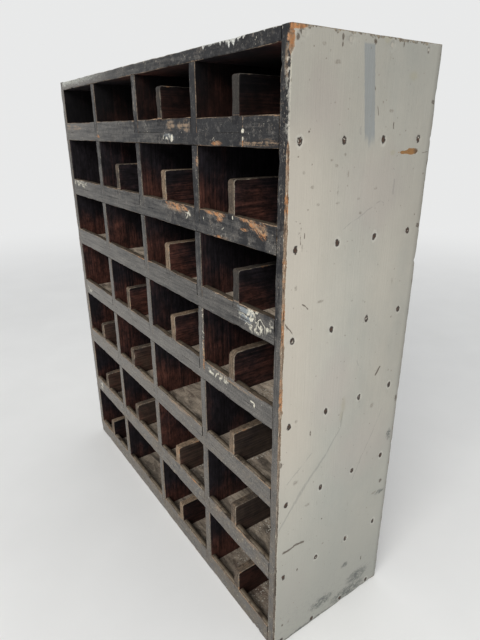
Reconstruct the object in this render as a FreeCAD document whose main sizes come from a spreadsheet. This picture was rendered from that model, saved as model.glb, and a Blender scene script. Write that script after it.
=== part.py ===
import FreeCAD, Part
import os
import Sketcher

# Pigeonhole mail sorter: a nailed softwood cabinet with four columns and seven rows of open
# compartments. Shelves and uprights are halved together like an egg crate, a lip stands on the
# front edge of every shelf, and low partitions halve most of the compartments.
#
# Frame: millimetres, +Z up, the open front faces -Y, and the origin is the middle of the base.
# Rows count from the top, columns from the left as seen from the front.

doc = FreeCAD.newDocument("pigeonhole_mail_sorter")

COLUMNS = 4
ROWS = 7
NAILS_ACROSS = 4
BACK_BOARDS = 8

DRIVING_SIZES = [
    ("overall_wide", 960, "outside width over the side boards"),
    ("overall_deep", 305, "outside depth of the side boards"),
    ("overall_high", 1100, "outside height"),
    ("board_thick", 20, "planed thickness of sides, shelves and uprights"),
    ("back_thick", 12, "thickness of the matched back boards"),
    ("rebate_wide", 10, "rebate in the side boards that takes the back"),
    ("clear_1", 106, "height between boards, row 1 (row 7 gets what is left)"),
    ("clear_2", 127, "height between boards, row 2"),
    ("clear_3", 123, "height between boards, row 3"),
    ("clear_4", 135, "height between boards, row 4"),
    ("clear_5", 144, "height between boards, row 5"),
    ("clear_6", 153, "height between boards, row 6"),
    ("lip_thick", 12, "thickness of the front lips"),
    ("lip_high", 25, "height of the front lips above the shelf"),
    ("lip_round", 2, "rounding of the lips' front top arris"),
    ("partition_thick", 18, "thickness of the low partitions"),
    ("partition_upper", 80, "height of the low partitions in rows 1 to 4"),
    ("partition_lower", 73, "height of the low partitions in rows 5 to 7"),
    ("lap_high", 12, "height at which partition and lip are halved together"),
    ("corner_sharp", 5, "rounding of a partition's front corner"),
    ("corner_worn", 14, "rounding of a badly worn front corner"),
    ("arris_round", 1.5, "rounding of the side boards' outer arrises"),
    ("board_gap", 1, "open joint between two back boards"),
    ("tongue_long", 5, "length of a back board's tongue"),
    ("tongue_thick", 4, "thickness of a back board's tongue"),
    ("vee_deep", 2.5, "chamfer on each side of a back board joint"),
    ("nail_long", 45, "length of the nails in sides, top and base"),
    ("back_nail_long", 32, "length of the nails in the back"),
    ("nail_head_wide", 6.5, "width of a cut nail's head"),
    ("nail_head_deep", 5, "depth of a cut nail's head"),
    ("nail_head_thick", 2, "thickness of a cut nail's head"),
    ("nail_shank_wide", 4, "width of the shank under the head"),
    ("nail_tip_wide", 2, "width of the shank at its point"),
    ("nail_shank_thick", 3, "thickness of the shank"),
    ("nail_sunk", 0.6, "depth of the heads below the surface"),
    ("nail_first", 20, "distance of the first nail from the front"),
    ("nail_step", 84, "distance from one nail to the next"),
]

# Low partitions: row, column, and how far each stands to the right of its compartment's middle.
LOW_PARTITIONS = [
    (1, 3, -10), (1, 4, 6),
    (2, 2, -8), (2, 3, -8), (2, 4, -8),
    (3, 3, -10), (3, 4, 3),
    (4, 2, -10), (4, 3, -3), (4, 4, -13),
    (5, 1, -2), (5, 2, -17), (5, 4, -16),
    (6, 1, -16), (6, 2, -22), (6, 3, -17), (6, 4, -12),
    (7, 1, -12), (7, 3, -16), (7, 4, -2),
]
LAST_HIGH_PARTITION_ROW = 4
WORN_CORNERS = [(4, 4), (5, 4)]


# ---------------------------------------------------------------- the sheet of driving sizes

sheet = doc.addObject("Spreadsheet::Sheet", "sizes")
for row, (alias, size, meaning) in enumerate(DRIVING_SIZES, start=1):
    sheet.set(f"A{row}", meaning)
    sheet.set(f"B{row}", str(size))
    sheet.setAlias(f"B{row}", alias)
for row, (level, column, shift) in enumerate(LOW_PARTITIONS, start=len(DRIVING_SIZES) + 1):
    sheet.set(f"A{row}", f"shift of the low partition in row {level}, column {column}")
    sheet.set(f"B{row}", str(shift))
    sheet.setAlias(f"B{row}", f"shift_{level}_{column}")
doc.recompute()


def size(alias):
    """The plain number in the sheet's cell of that alias."""
    return float(sheet.get(alias))


def value(expression):
    """What an expression over the sheet's aliases comes to, in millimetres."""
    return float(sheet.evalExpression(expression))


# ---------------------------------------------------------------- places, as expressions

THICK = "sizes.board_thick"
INNER_WIDE = f"(sizes.overall_wide - 2 * {THICK})"
CARCASS_DEEP = "(sizes.overall_deep - sizes.back_thick)"
HALF_LAP = f"({CARCASS_DEEP} / 2)"
COLUMN_WIDE = f"(({INNER_WIDE} - {COLUMNS - 1} * {THICK}) / {COLUMNS})"
FRONT = "-sizes.overall_deep / 2"
INNER_LEFT = f"(-{INNER_WIDE} / 2)"


def column_left(column):
    """Left wall of a column, measured from the inside of the left board."""
    return f"({column - 1} * ({COLUMN_WIDE} + {THICK}))"


def row_floor(level):
    """Top of the board that a row's contents stand on."""
    if level == ROWS:
        return THICK
    clear = " - ".join(f"sizes.clear_{n}" for n in range(1, level + 1))
    return f"(sizes.overall_high - {level} * {THICK} - {clear})"


def place(part, along_x, along_y, along_z):
    """Bind a part's placement to three expressions."""
    for axis, expression in zip("xyz", (along_x, along_y, along_z)):
        part.setExpression(f".Placement.Base.{axis}", expression)


# ---------------------------------------------------------------- sketches and bodies

def new_body(label, several_solids=False):
    body = doc.addObject("PartDesign::Body", label)
    body.AllowCompound = several_solids
    return body


def new_sketch(body, role):
    """A sketch on one of the body's own origin planes."""
    sketch = body.newObject("Sketcher::SketchObject", f"{body.Name}_{role[:2].lower()}_outline")
    plane = next(part for part in body.Origin.OriginFeatures if part.Role == role)
    sketch.AttachmentSupport = [(plane, "")]
    sketch.MapMode = "FlatFace"
    return sketch


def draw_outline(sketch, corners):
    """Draw a closed outline of straight lines whose corners are pairs of expressions."""
    points = [FreeCAD.Vector(value(along), value(up), 0) for along, up in corners]
    first = sketch.GeometryCount
    for start, end in zip(points, points[1:] + points[:1]):
        sketch.addGeometry(Part.LineSegment(start, end), False)
    for index, (along, up) in enumerate(corners):
        line = first + index
        follower = first + (index + 1) % len(corners)
        sketch.addConstraint(Sketcher.Constraint("Coincident", line, 2, follower, 1))
        hold_corner(sketch, line, "DistanceX", -2, along)
        hold_corner(sketch, line, "DistanceY", -1, up)


def hold_corner(sketch, line, kind, axis, expression):
    """Hold the start of a line on an axis or at a distance that follows the sheet."""
    if abs(value(expression)) < 1e-9:
        sketch.addConstraint(Sketcher.Constraint("PointOnObject", line, 1, axis))
        return
    number = sketch.addConstraint(Sketcher.Constraint(kind, -1, 1, line, 1, value(expression)))
    sketch.setExpression(f"Constraints[{number}]", expression)


def rectangle(left, bottom, right, top):
    return [(left, bottom), (right, bottom), (right, top), (left, top)]


def pad(body, sketch, length, reverse=False):
    feature = body.newObject("PartDesign::Pad", f"{body.Name}_board")
    feature.Profile = sketch
    feature.setExpression("Length", length)
    feature.Reversed = reverse
    doc.recompute()
    return feature


def round_edges(body, feature, radius, wanted):
    """Round the feature's edges whose bounding box passes the test."""
    names = [f"Edge{n}" for n, edge in enumerate(feature.Shape.Edges, start=1)
             if wanted(edge.BoundBox)]
    fillet = body.newObject("PartDesign::Fillet", f"{body.Name}_round")
    fillet.Base = (feature, names)
    fillet.setExpression("Radius", radius)


def close_to(first, second):
    return abs(first - second) < 1e-4


# ---------------------------------------------------------------- carcass boards

def make_side_board(label, hand):
    """A full-height side board with the rebate for the back; hand is -1 left, +1 right."""
    body = new_body(label)
    sketch = new_sketch(body, "XY_Plane")
    if hand < 0:
        outline = [("0", "0"), (THICK, "0"), (THICK, CARCASS_DEEP),
                   (f"{THICK} - sizes.rebate_wide", CARCASS_DEEP),
                   (f"{THICK} - sizes.rebate_wide", "sizes.overall_deep"),
                   ("0", "sizes.overall_deep")]
        outer_face = 0.0
    else:
        outline = [("0", "0"), (THICK, "0"), (THICK, "sizes.overall_deep"),
                   ("sizes.rebate_wide", "sizes.overall_deep"),
                   ("sizes.rebate_wide", CARCASS_DEEP), ("0", CARCASS_DEEP)]
        outer_face = size("board_thick")
    draw_outline(sketch, outline)
    board = pad(body, sketch, "sizes.overall_high")
    round_edges(body, board, "sizes.arris_round",
                lambda box: box.ZLength > size("overall_deep")
                and close_to(box.XMin, outer_face) and close_to(box.XMax, outer_face))
    left = "-sizes.overall_wide / 2" if hand < 0 else f"sizes.overall_wide / 2 - {THICK}"
    place(body, left, FRONT, "0")
    return body


def make_flat_board(label, height):
    """The top or the base: a plain board between the sides."""
    body = new_body(label)
    sketch = new_sketch(body, "XY_Plane")
    draw_outline(sketch, rectangle("0", "0", INNER_WIDE, CARCASS_DEEP))
    pad(body, sketch, THICK)
    place(body, INNER_LEFT, FRONT, height)
    return body


def make_shelf(label, level):
    """A shelf, slotted from the back so that the uprights drop into its rear half."""
    body = new_body(label)
    sketch = new_sketch(body, "XY_Plane")
    outline = [("0", "0"), (INNER_WIDE, "0"), (INNER_WIDE, CARCASS_DEEP)]
    for column in range(COLUMNS - 1, 0, -1):
        slot_left = f"({column_left(column)} + {COLUMN_WIDE})"
        slot_right = column_left(column + 1)
        outline += [(slot_right, CARCASS_DEEP), (slot_right, HALF_LAP),
                    (slot_left, HALF_LAP), (slot_left, CARCASS_DEEP)]
    outline.append(("0", CARCASS_DEEP))
    draw_outline(sketch, outline)
    pad(body, sketch, THICK)
    place(body, INNER_LEFT, FRONT, f"{row_floor(level)} - {THICK}")
    return body


def make_upright(label, number):
    """An upright, slotted from the front so that the shelves run through its front half."""
    body = new_body(label)
    sketch = new_sketch(body, "YZ_Plane")
    high = f"(sizes.overall_high - 2 * {THICK})"
    outline = [("0", "0")]
    for level in range(ROWS - 1, 0, -1):
        slot_top = f"({row_floor(level)} - {THICK})"
        slot_foot = f"({row_floor(level)} - 2 * {THICK})"
        outline += [("0", slot_foot), (HALF_LAP, slot_foot), (HALF_LAP, slot_top), ("0", slot_top)]
    outline += [("0", high), (CARCASS_DEEP, high), (CARCASS_DEEP, "0")]
    draw_outline(sketch, outline)
    pad(body, sketch, THICK)
    place(body, f"{INNER_LEFT} + {column_left(number)} + {COLUMN_WIDE}", FRONT, THICK)
    return body


# ---------------------------------------------------------------- lips and low partitions

def partition_left(level, column):
    """Left face of a low partition, measured from the inside of the left board."""
    middle = f"{column_left(column)} + {COLUMN_WIDE} / 2 + sizes.shift_{level}_{column}"
    return f"({middle} - sizes.partition_thick / 2)"


def lip_outline(level, column):
    """Front view of one lip, notched from above where a low partition crosses it."""
    left = column_left(column)
    right = f"({left} + {COLUMN_WIDE})"
    if (level, column) not in [(row, bay) for row, bay, shift in LOW_PARTITIONS]:
        return rectangle(left, "0", right, "sizes.lip_high")
    notch_left = partition_left(level, column)
    notch_right = f"({notch_left} + sizes.partition_thick)"
    return [(left, "0"), (right, "0"), (right, "sizes.lip_high"),
            (notch_right, "sizes.lip_high"), (notch_right, "sizes.lap_high"),
            (notch_left, "sizes.lap_high"), (notch_left, "sizes.lip_high"),
            (left, "sizes.lip_high")]


def make_lip_row(label, level):
    """The four lips of one row, each fitted between two uprights and flush with the front."""
    body = new_body(label, several_solids=True)
    sketch = new_sketch(body, "XZ_Plane")
    for column in range(1, COLUMNS + 1):
        draw_outline(sketch, lip_outline(level, column))
    strips = pad(body, sketch, "sizes.lip_thick", reverse=True)
    round_edges(body, strips, "sizes.lip_round",
                lambda box: box.XLength > size("partition_thick") + 1
                and close_to(box.YMin, 0) and close_to(box.YMax, 0)
                and close_to(box.ZMin, size("lip_high")))
    place(body, INNER_LEFT, FRONT, row_floor(level))
    return body


def make_low_partition(label, level, column):
    """A low partition from front to back, notched underneath where it sits over the lip."""
    body = new_body(label)
    sketch = new_sketch(body, "YZ_Plane")
    upper = level <= LAST_HIGH_PARTITION_ROW
    high = "sizes.partition_upper" if upper else "sizes.partition_lower"
    draw_outline(sketch, [("sizes.lip_thick", "0"), (CARCASS_DEEP, "0"), (CARCASS_DEEP, high),
                          ("0", high), ("0", "sizes.lap_high"),
                          ("sizes.lip_thick", "sizes.lap_high")])
    board = pad(body, sketch, "sizes.partition_thick")
    worn = (level, column) in WORN_CORNERS
    round_edges(body, board, "sizes.corner_worn" if worn else "sizes.corner_sharp",
                lambda box: close_to(box.YMax, 0) and close_to(box.ZMin, value(high)))
    place(body, f"{INNER_LEFT} + {partition_left(level, column)}", FRONT, row_floor(level))
    return body


# ---------------------------------------------------------------- matched back boards

BACK_PITCH = f"(({INNER_WIDE} + 2 * sizes.rebate_wide) / {BACK_BOARDS})"
TONGUE_FRONT = "((sizes.back_thick - sizes.tongue_thick) / 2)"
TONGUE_REAR = "((sizes.back_thick + sizes.tongue_thick) / 2)"


def make_back_board(label, number):
    """One upright board of the back: a groove on its left, a tongue on its right, vee joints."""
    body = new_body(label)
    sketch = new_sketch(body, "XY_Plane")
    right = f"({BACK_PITCH} - sizes.board_gap)"
    outline = [("0", "0"), (right, "0")]
    if number < BACK_BOARDS:
        tip = f"({right} + sizes.tongue_long)"
        outline += [(right, TONGUE_FRONT), (tip, TONGUE_FRONT), (tip, TONGUE_REAR),
                    (right, TONGUE_REAR), (right, "sizes.back_thick - sizes.vee_deep"),
                    (f"({right} - sizes.vee_deep)", "sizes.back_thick")]
    else:
        outline.append((right, "sizes.back_thick"))
    if number > 1:
        root = "sizes.tongue_long"
        outline += [("sizes.vee_deep", "sizes.back_thick"),
                    ("0", "sizes.back_thick - sizes.vee_deep"), ("0", TONGUE_REAR),
                    (root, TONGUE_REAR), (root, TONGUE_FRONT), ("0", TONGUE_FRONT)]
    else:
        outline.append(("0", "sizes.back_thick"))
    draw_outline(sketch, outline)
    pad(body, sketch, "sizes.overall_high")
    left = f"{INNER_LEFT} - sizes.rebate_wide + {number - 1} * {BACK_PITCH} + sizes.board_gap / 2"
    place(body, left, f"{FRONT} + {CARCASS_DEEP}", "0")
    return body


# ---------------------------------------------------------------- cut nails

def cut_nail(length):
    """A stamped nail that points along -Z, with the top of its head at the origin."""
    wide, deep, thick = size("nail_head_wide"), size("nail_head_deep"), size("nail_head_thick")
    shank, tip, plate = size("nail_shank_wide"), size("nail_tip_wide"), size("nail_shank_thick")
    head = Part.makeBox(wide, deep, thick, FreeCAD.Vector(-wide / 2, -deep / 2, -thick))
    corners = [(-shank / 2, -thick), (shank / 2, -thick), (tip / 2, -length), (-tip / 2, -length)]
    points = [FreeCAD.Vector(across, -plate / 2, down) for across, down in corners]
    face = Part.Face(Part.makePolygon(points + points[:1]))
    return head.fuse(face.extrude(FreeCAD.Vector(0, plate, 0))).removeSplitter()


def drive_nails(label, nail, heads, inward):
    """A group of like nails: heads are the points where they enter, inward the way they go."""
    turn = FreeCAD.Rotation(FreeCAD.Vector(0, 0, -1), inward)
    driven = []
    for head in heads:
        copy = nail.copy()
        copy.Placement = FreeCAD.Placement(head + inward * size("nail_sunk"), turn)
        driven.append(copy)
    group = doc.addObject("Part::Feature", label)
    group.Shape = Part.makeCompound(driven)
    return group


def nail_lines():
    """Distances along Y of the nails in the sides, top and base."""
    return [value(FRONT) + size("nail_first") + n * size("nail_step") for n in range(NAILS_ACROSS)]


def board_levels():
    """Heights of the middles of the top board, the six shelves and the base."""
    half = size("board_thick") / 2
    return [size("overall_high") - half] + [value(row_floor(n)) - half for n in range(1, ROWS + 1)]


def make_nail_groups():
    long_nail = cut_nail(size("nail_long"))
    back_nail = cut_nail(size("back_nail_long"))
    half_wide, half_deep = size("overall_wide") / 2, size("overall_deep") / 2
    in_sides = [(along, level) for along in nail_lines() for level in board_levels()]
    upright_middles = [value(f"{INNER_LEFT} + {column_left(n)} - {THICK} / 2")
                       for n in range(2, COLUMNS + 1)]
    in_ends = [(across, along) for across in upright_middles for along in nail_lines()]
    levels = board_levels()
    back_middles = [value(f"{INNER_LEFT} - sizes.rebate_wide + {n + 0.5} * {BACK_PITCH}")
                    for n in range(BACK_BOARDS)]
    in_back = [(across, level) for across in back_middles
               for level in (levels[0], levels[2], levels[4], levels[-1])]
    vector = FreeCAD.Vector
    return {
        "left": drive_nails("left_side_nails", long_nail,
                            [vector(-half_wide, y, z) for y, z in in_sides], vector(1, 0, 0)),
        "right": drive_nails("right_side_nails", long_nail,
                             [vector(half_wide, y, z) for y, z in in_sides], vector(-1, 0, 0)),
        "top": drive_nails("top_nails", long_nail,
                           [vector(x, y, size("overall_high")) for x, y in in_ends],
                           vector(0, 0, -1)),
        "base": drive_nails("base_nails", long_nail,
                            [vector(x, y, 0) for x, y in in_ends], vector(0, 0, 1)),
        "back": drive_nails("back_nails", back_nail,
                            [vector(x, half_deep, z) for x, z in in_back], vector(0, -1, 0)),
    }


def pierce(label, board, *groups):
    """The board with the holes that the given nail groups have made in it."""
    pierced = board
    for number, group in enumerate(groups, start=1):
        cut = doc.addObject("Part::Cut", f"{label}_pierced_{number}")
        cut.Base = pierced
        cut.Tool = group
        pierced = cut
    pierced.Label = label
    return pierced


# ---------------------------------------------------------------- assembly

def build_sorter():
    nails = make_nail_groups()
    every_side = (nails["left"], nails["right"])
    parts = list(nails.values())
    parts.append(pierce("left_side_board", make_side_board("left_side_blank", -1), nails["left"]))
    parts.append(pierce("right_side_board", make_side_board("right_side_blank", 1), nails["right"]))
    top = make_flat_board("top_blank", f"sizes.overall_high - {THICK}")
    parts.append(pierce("top_board", top, *every_side, nails["top"], nails["back"]))
    base = make_flat_board("base_blank", "0")
    parts.append(pierce("base_board", base, *every_side, nails["base"], nails["back"]))
    for level in range(1, ROWS):
        shelf = make_shelf(f"shelf_blank_{level}", level)
        nailed = every_side + ((nails["back"],) if level in (2, 4) else ())
        parts.append(pierce(f"shelf_{level}", shelf, *nailed))
    for number in range(1, COLUMNS):
        upright = make_upright(f"upright_blank_{number}", number)
        parts.append(pierce(f"upright_{number}", upright, nails["top"], nails["base"]))
    for number in range(1, BACK_BOARDS + 1):
        board = make_back_board(f"back_blank_{number}", number)
        parts.append(pierce(f"back_board_{number}", board, nails["back"]))
    for level in range(1, ROWS + 1):
        parts.append(make_lip_row(f"lips_row_{level}", level))
    for level, column, shift in LOW_PARTITIONS:
        parts.append(make_low_partition(f"low_partition_{level}_{column}", level, column))
    return parts


def check_document():
    """Stop on any object that failed to compute."""
    for part in doc.Objects:
        if "Invalid" in part.State or "Error" in part.State:
            raise RuntimeError(f"{part.Label} failed: {part.State}")


def export(parts):
    os.makedirs("parts", exist_ok=True)
    for part in parts:
        if part.Shape.isNull() or not part.Shape.isValid():
            raise RuntimeError(f"{part.Label} has no sound shape")
        part.Shape.exportStep(f"parts/{part.Label}.step")
        solids = len(part.Shape.Solids)
        litres = part.Shape.Volume / 1e6
        print(f"{part.Label}: {solids} solid(s), {litres:.4f} litres")


sorter = build_sorter()
doc.recompute()
check_document()
export(sorter)
print(f"{len(sorter)} nodes")
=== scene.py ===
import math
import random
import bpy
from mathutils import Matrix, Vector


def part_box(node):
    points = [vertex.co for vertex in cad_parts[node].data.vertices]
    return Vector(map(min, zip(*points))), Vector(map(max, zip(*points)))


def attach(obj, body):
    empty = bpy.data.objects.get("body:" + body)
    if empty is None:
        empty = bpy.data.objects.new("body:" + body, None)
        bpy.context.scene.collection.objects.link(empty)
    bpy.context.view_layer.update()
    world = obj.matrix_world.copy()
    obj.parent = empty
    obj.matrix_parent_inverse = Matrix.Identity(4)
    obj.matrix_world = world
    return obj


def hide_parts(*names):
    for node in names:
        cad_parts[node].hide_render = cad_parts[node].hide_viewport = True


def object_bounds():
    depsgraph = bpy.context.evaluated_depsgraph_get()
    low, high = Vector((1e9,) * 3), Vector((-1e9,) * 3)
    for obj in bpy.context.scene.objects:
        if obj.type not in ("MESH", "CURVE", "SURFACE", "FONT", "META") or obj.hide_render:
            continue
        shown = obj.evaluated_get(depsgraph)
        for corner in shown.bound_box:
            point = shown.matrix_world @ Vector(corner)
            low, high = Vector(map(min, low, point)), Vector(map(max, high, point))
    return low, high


bl_info = {
    "name": "Pigeonhole Mail Sorter",
    "version": (1, 0, 0),
    "blender": (4, 5, 0),
    "location": "View3D > Sidebar > Sorter",
    "description": "Dresses an old painted pigeonhole mail sorter, board by board",
    "category": "Object",
}

from collections import namedtuple

import bpy
import numpy as np
from bpy.props import FloatProperty, FloatVectorProperty, IntProperty, PointerProperty
from mathutils import Matrix

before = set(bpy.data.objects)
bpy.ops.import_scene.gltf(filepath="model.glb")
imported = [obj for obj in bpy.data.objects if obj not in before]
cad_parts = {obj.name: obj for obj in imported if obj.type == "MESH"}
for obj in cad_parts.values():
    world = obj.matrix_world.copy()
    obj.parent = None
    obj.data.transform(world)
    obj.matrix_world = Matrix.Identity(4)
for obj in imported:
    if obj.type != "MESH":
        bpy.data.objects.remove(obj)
CAD_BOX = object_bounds()

MM = 0.001
COLUMNS = 4
ROWS = 7
SHELVES = [f"shelf_{n}" for n in range(1, ROWS)]
UPRIGHTS = [f"upright_{n}" for n in range(1, COLUMNS)]
LIPS = [f"lips_row_{row}" for row in range(1, ROWS + 1)]
BACK_BOARDS = sorted(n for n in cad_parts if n.startswith("back_board"))
PARTITIONS = sorted(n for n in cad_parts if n.startswith("low_partition"))
NAILS = sorted(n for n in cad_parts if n.endswith("nails"))

LOW, HIGH = CAD_BOX
FRONT = LOW.y
BACK_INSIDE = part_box("back_board_1")[0].y
LAP_HIGH = 12 * MM
LIP_HIGH = 25 * MM
CORNER_RADIUS = 5 * MM
WORN_CORNERS = {"low_partition_4_4": 13 * MM}
PALE_EDGES = {"low_partition_1_3": 0.0, "low_partition_1_4": -0.1, "low_partition_2_3": 0.8,
              "low_partition_3_3": 0.8, "low_partition_3_4": 0.05, "low_partition_4_3": 0.75,
              "low_partition_4_4": 0.5, "low_partition_5_4": 0.55, "low_partition_6_3": 0.95,
              "low_partition_7_1": 0.6, "low_partition_7_3": 0.85}
NAIL_FIRST = 20 * MM
NAIL_APART = 84 * MM
NAIL_DEPTHS = [FRONT + NAIL_FIRST + NAIL_APART * n for n in range(4)]
NAIL_PIT_REACH = 4.6 * MM
NAIL_PIT_DEEP = 1.2 * MM
BACK_EDGE = -470 * MM
BACK_PITCH = 117.5 * MM
# Knocks in an arris of a board: where along it, how far each way, and how deep, in millimetres.
KNOCKS = {
    ("right_side_board", "front"): [(1092, 34, 6.5), (850, 34, 2.5), (555, 16, 1.8), (8, 22, 3.5)],
    ("left_side_board", "front"): [(1094, 26, 5), (610, 22, 2.5), (6, 26, 5)],
    ("top_board", "front"): [(-404, 34, 2.5), (296, 18, 2.0), (355, 22, 2.2), (-120, 40, 1.2)],
    ("low_partition_4_4", "front"): [(-700, 14, 1.5)],
}


# ---------------------------------------------------------------- what a user would change

class SorterWear(bpy.types.PropertyGroup):
    arris: FloatProperty(
        name="Arris", description="Rounding of a rubbed arris", default=1.3 * MM, unit="LENGTH")
    bruise: FloatProperty(
        name="Bruise", description="Depth of the deepest bruise in an arris", default=3.0 * MM,
        unit="LENGTH")
    bruise_spacing: FloatProperty(
        name="Bruise spacing", description="Average distance between two bruises", default=0.06,
        unit="LENGTH")
    grid: FloatProperty(
        name="Grid", description="Distance between mesh lines along a board", default=6 * MM, unit="LENGTH")
    strip: FloatProperty(
        name="Bare strip", description="Width of the bare strip down the front of the sides",
        default=3.8 * MM,
        unit="LENGTH")
    seed: IntProperty(name="Seed", description="Start of the random draws", default=7)


class SorterColours(bpy.types.PropertyGroup):
    grey: FloatVectorProperty(
        name="Grey paint", description="Outside of the sides", subtype="COLOR",
        default=(0.465, 0.440, 0.380))
    cool_grey: FloatVectorProperty(
        name="Cool grey", description="Grey paint where it is dirty or faded", subtype="COLOR",
        default=(0.375, 0.378, 0.340))
    charcoal: FloatVectorProperty(
        name="Charcoal paint", description="Front edges where the paint is thick", subtype="COLOR",
        default=(0.016, 0.016, 0.0175))
    chalky: FloatVectorProperty(
        name="Chalky paint", description="Front edges where the paint is worn", subtype="COLOR",
        default=(0.200, 0.188, 0.172))
    cream: FloatVectorProperty(
        name="Undercoat", description="Cream undercoat and spatter", subtype="COLOR",
        default=(0.62, 0.59, 0.49))
    bare: FloatVectorProperty(
        name="Bare wood", description="Fresh chips", subtype="COLOR", default=(0.40, 0.182, 0.072))
    rubbed: FloatVectorProperty(
        name="Rubbed wood", description="Handled edges", subtype="COLOR", default=(0.29, 0.205, 0.135))
    stain: FloatVectorProperty(
        name="Stain", description="Dark stain inside", subtype="COLOR", default=(0.0082, 0.0066, 0.0084))
    red_stain: FloatVectorProperty(
        name="Red stain", description="Stain worn thin", subtype="COLOR", default=(0.048, 0.0185, 0.0135))
    dust: FloatVectorProperty(
        name="Dust", description="Dust on the shelves", subtype="COLOR", default=(0.36, 0.30, 0.235))
    grime: FloatVectorProperty(
        name="Grime", description="Tops of the lips", subtype="COLOR", default=(0.066, 0.049, 0.033))
    handled: FloatVectorProperty(
        name="Handled wood", description="Edges of the low partitions where they are least worn",
        subtype="COLOR", default=(0.052, 0.046, 0.041))
    rust: FloatVectorProperty(
        name="Rust", description="Heads of the nails", subtype="COLOR", default=(0.030, 0.021, 0.017))


class SorterStage(bpy.types.PropertyGroup):
    camera_place: FloatVectorProperty(
        name="Camera", description="Where the camera stands", subtype="TRANSLATION", unit="LENGTH",
        default=(0.99982, -0.59315, 0.97801))
    camera_turn: FloatVectorProperty(
        name="Camera turn", description="Heading, pitch down and roll", subtype="EULER", unit="ROTATION",
        default=(math.radians(-55.0945), math.radians(21.2447), math.radians(0.2496)))
    lens: FloatProperty(
        name="Lens", description="Focal length for a 36 mm long side", default=27.461, unit="CAMERA")
    key_power: FloatProperty(
        name="Key light", description="Power of the large soft lamp in watts", default=100.0)
    sky: FloatProperty(
        name="Room light", description="Brightness of the room around", default=0.66)
    floor: FloatVectorProperty(
        name="Floor", description="Colour of the floor", subtype="COLOR", default=(0.83, 0.83, 0.82))
    backdrop: FloatVectorProperty(
        name="Backdrop", description="Colour behind the object", subtype="COLOR",
        default=(0.81, 0.815, 0.815))


# ---------------------------------------------------------------- boards as fine grids of faces

Face = namedtuple("Face", "distance inward")
SIDES = {"left": (0, 1), "right": (0, -1), "front": (1, 1), "back": (1, -1), "under": (2, 1),
         "top": (2, -1)}
FINE = [0.0, 0.7 * MM, 1.8 * MM, 3.5 * MM, 7 * MM]
THIN = FINE[:4]


def ruler(low, high, step, marks=(), fine=FINE):
    """Places along one axis: close at both ends, on every mark, and no more than a step apart."""
    fixed = sorted([low + f for f in fine] + [high - f for f in fine] + [m for m in marks if low < m < high])
    kept = [fixed[0]]
    for place in fixed[1:]:
        if place - kept[-1] > 0.2 * MM:
            kept.append(place)
    kept[-1] = high
    places = [low]
    for start, end in zip(kept, kept[1:]):
        pieces = max(1, math.ceil((end - start) / step))
        places += [start + (end - start) * n / pieces for n in range(1, pieces + 1)]
    return np.array(places)


def grid_solid(rulers, filled):
    """Points and quads of the skin round the grid cells whose middles pass the test."""
    middles = [(r[1:] + r[:-1]) / 2 for r in rulers]
    cells = np.pad(filled(*np.meshgrid(*middles, indexing="ij")), 1).astype(int)
    counts = [len(r) for r in rulers]
    quads = []
    for axis in range(3):
        across, up = (axis + 1) % 3, (axis + 2) % 3
        step = np.diff(cells, axis=axis)
        trim = [slice(1, -1)] * 3
        trim[axis] = slice(None)
        step = step[tuple(trim)]
        for sign in (1, -1):
            start = np.argwhere(step == -sign)
            corners = []
            for along_across, along_up in ((0, 0), (1, 0), (1, 1), (0, 1))[::sign]:
                corner = start.copy()
                corner[:, across] += along_across
                corner[:, up] += along_up
                corners.append((corner[:, 0] * counts[1] + corner[:, 1]) * counts[2] + corner[:, 2])
            quads.append(np.stack(corners, 1))
    quads = np.concatenate(quads)
    used, quads = np.unique(quads, return_inverse=True)
    quads = quads.reshape(-1, 4)
    where = np.unravel_index(used, counts)
    points = np.stack([r[i] for r, i in zip(rulers, where)], 1)
    return points, quads


def box_faces(points, low, high):
    """How deep every point lies below each face of a box, and which way is inward from it."""
    faces = {}
    for name, (axis, sign) in SIDES.items():
        distance = points[:, axis] - low[axis] if sign > 0 else high[axis] - points[:, axis]
        inward = np.zeros_like(points)
        inward[:, axis] = sign
        faces[name] = Face(distance, inward)
    return faces


def ease(points, first, second, radius):
    """Round the arris between two faces, each given as a Face, to a radius that may vary."""
    reach_first = np.clip(radius - first.distance, 0, None)
    reach_second = np.clip(radius - second.distance, 0, None)
    length = np.maximum(np.hypot(reach_first, reach_second), 1e-9)
    over = np.clip(1 - radius / length, 0, None)
    points += first.inward * (reach_first * over)[:, None]
    points += second.inward * (reach_second * over)[:, None]


def ripple(along, rng, shortest=0.03):
    """A smooth wandering value of about -1 to 1."""
    total = np.zeros_like(along)
    for octave in range(4):
        turn = rng.uniform(0, 2 * math.pi)
        total += np.sin(along * 2 * math.pi / (shortest * 2.3 ** octave) + turn) / 2.2
    return np.clip(total, -1.2, 1.2)


def rubbed_radius(along, wear, rng, scale=1.0, knocks=()):
    """Radius of an arris along its length: a wandering rub with bruises and knocks here and there."""
    radius = wear.arris * scale * (1 + 0.5 * ripple(along, rng))
    radius += 0.6 * wear.arris * scale * np.clip(ripple(along, rng, 0.011), 0, 1)
    low, high = along.min(), along.max()
    for _ in range(int((high - low) / wear.bruise_spacing * scale) + 1):
        middle = rng.uniform(low, high)
        reach = rng.uniform(4, 20) * MM
        deep = wear.bruise * scale * rng.random() ** 2
        radius += deep * np.clip(1 - ((along - middle) / reach) ** 2, 0, 1) ** 1.5
    for middle, reach, deep in knocks:
        radius += deep * MM * np.clip(1 - ((along - middle * MM) / (reach * MM)) ** 2, 0, 1)
    return radius


def arris_distance(faces, arrises):
    """Distance of every point from the nearest of the given arrises."""
    return np.min([np.maximum(faces[a].distance, faces[b].distance) for a, b in arrises], axis=0)


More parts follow.
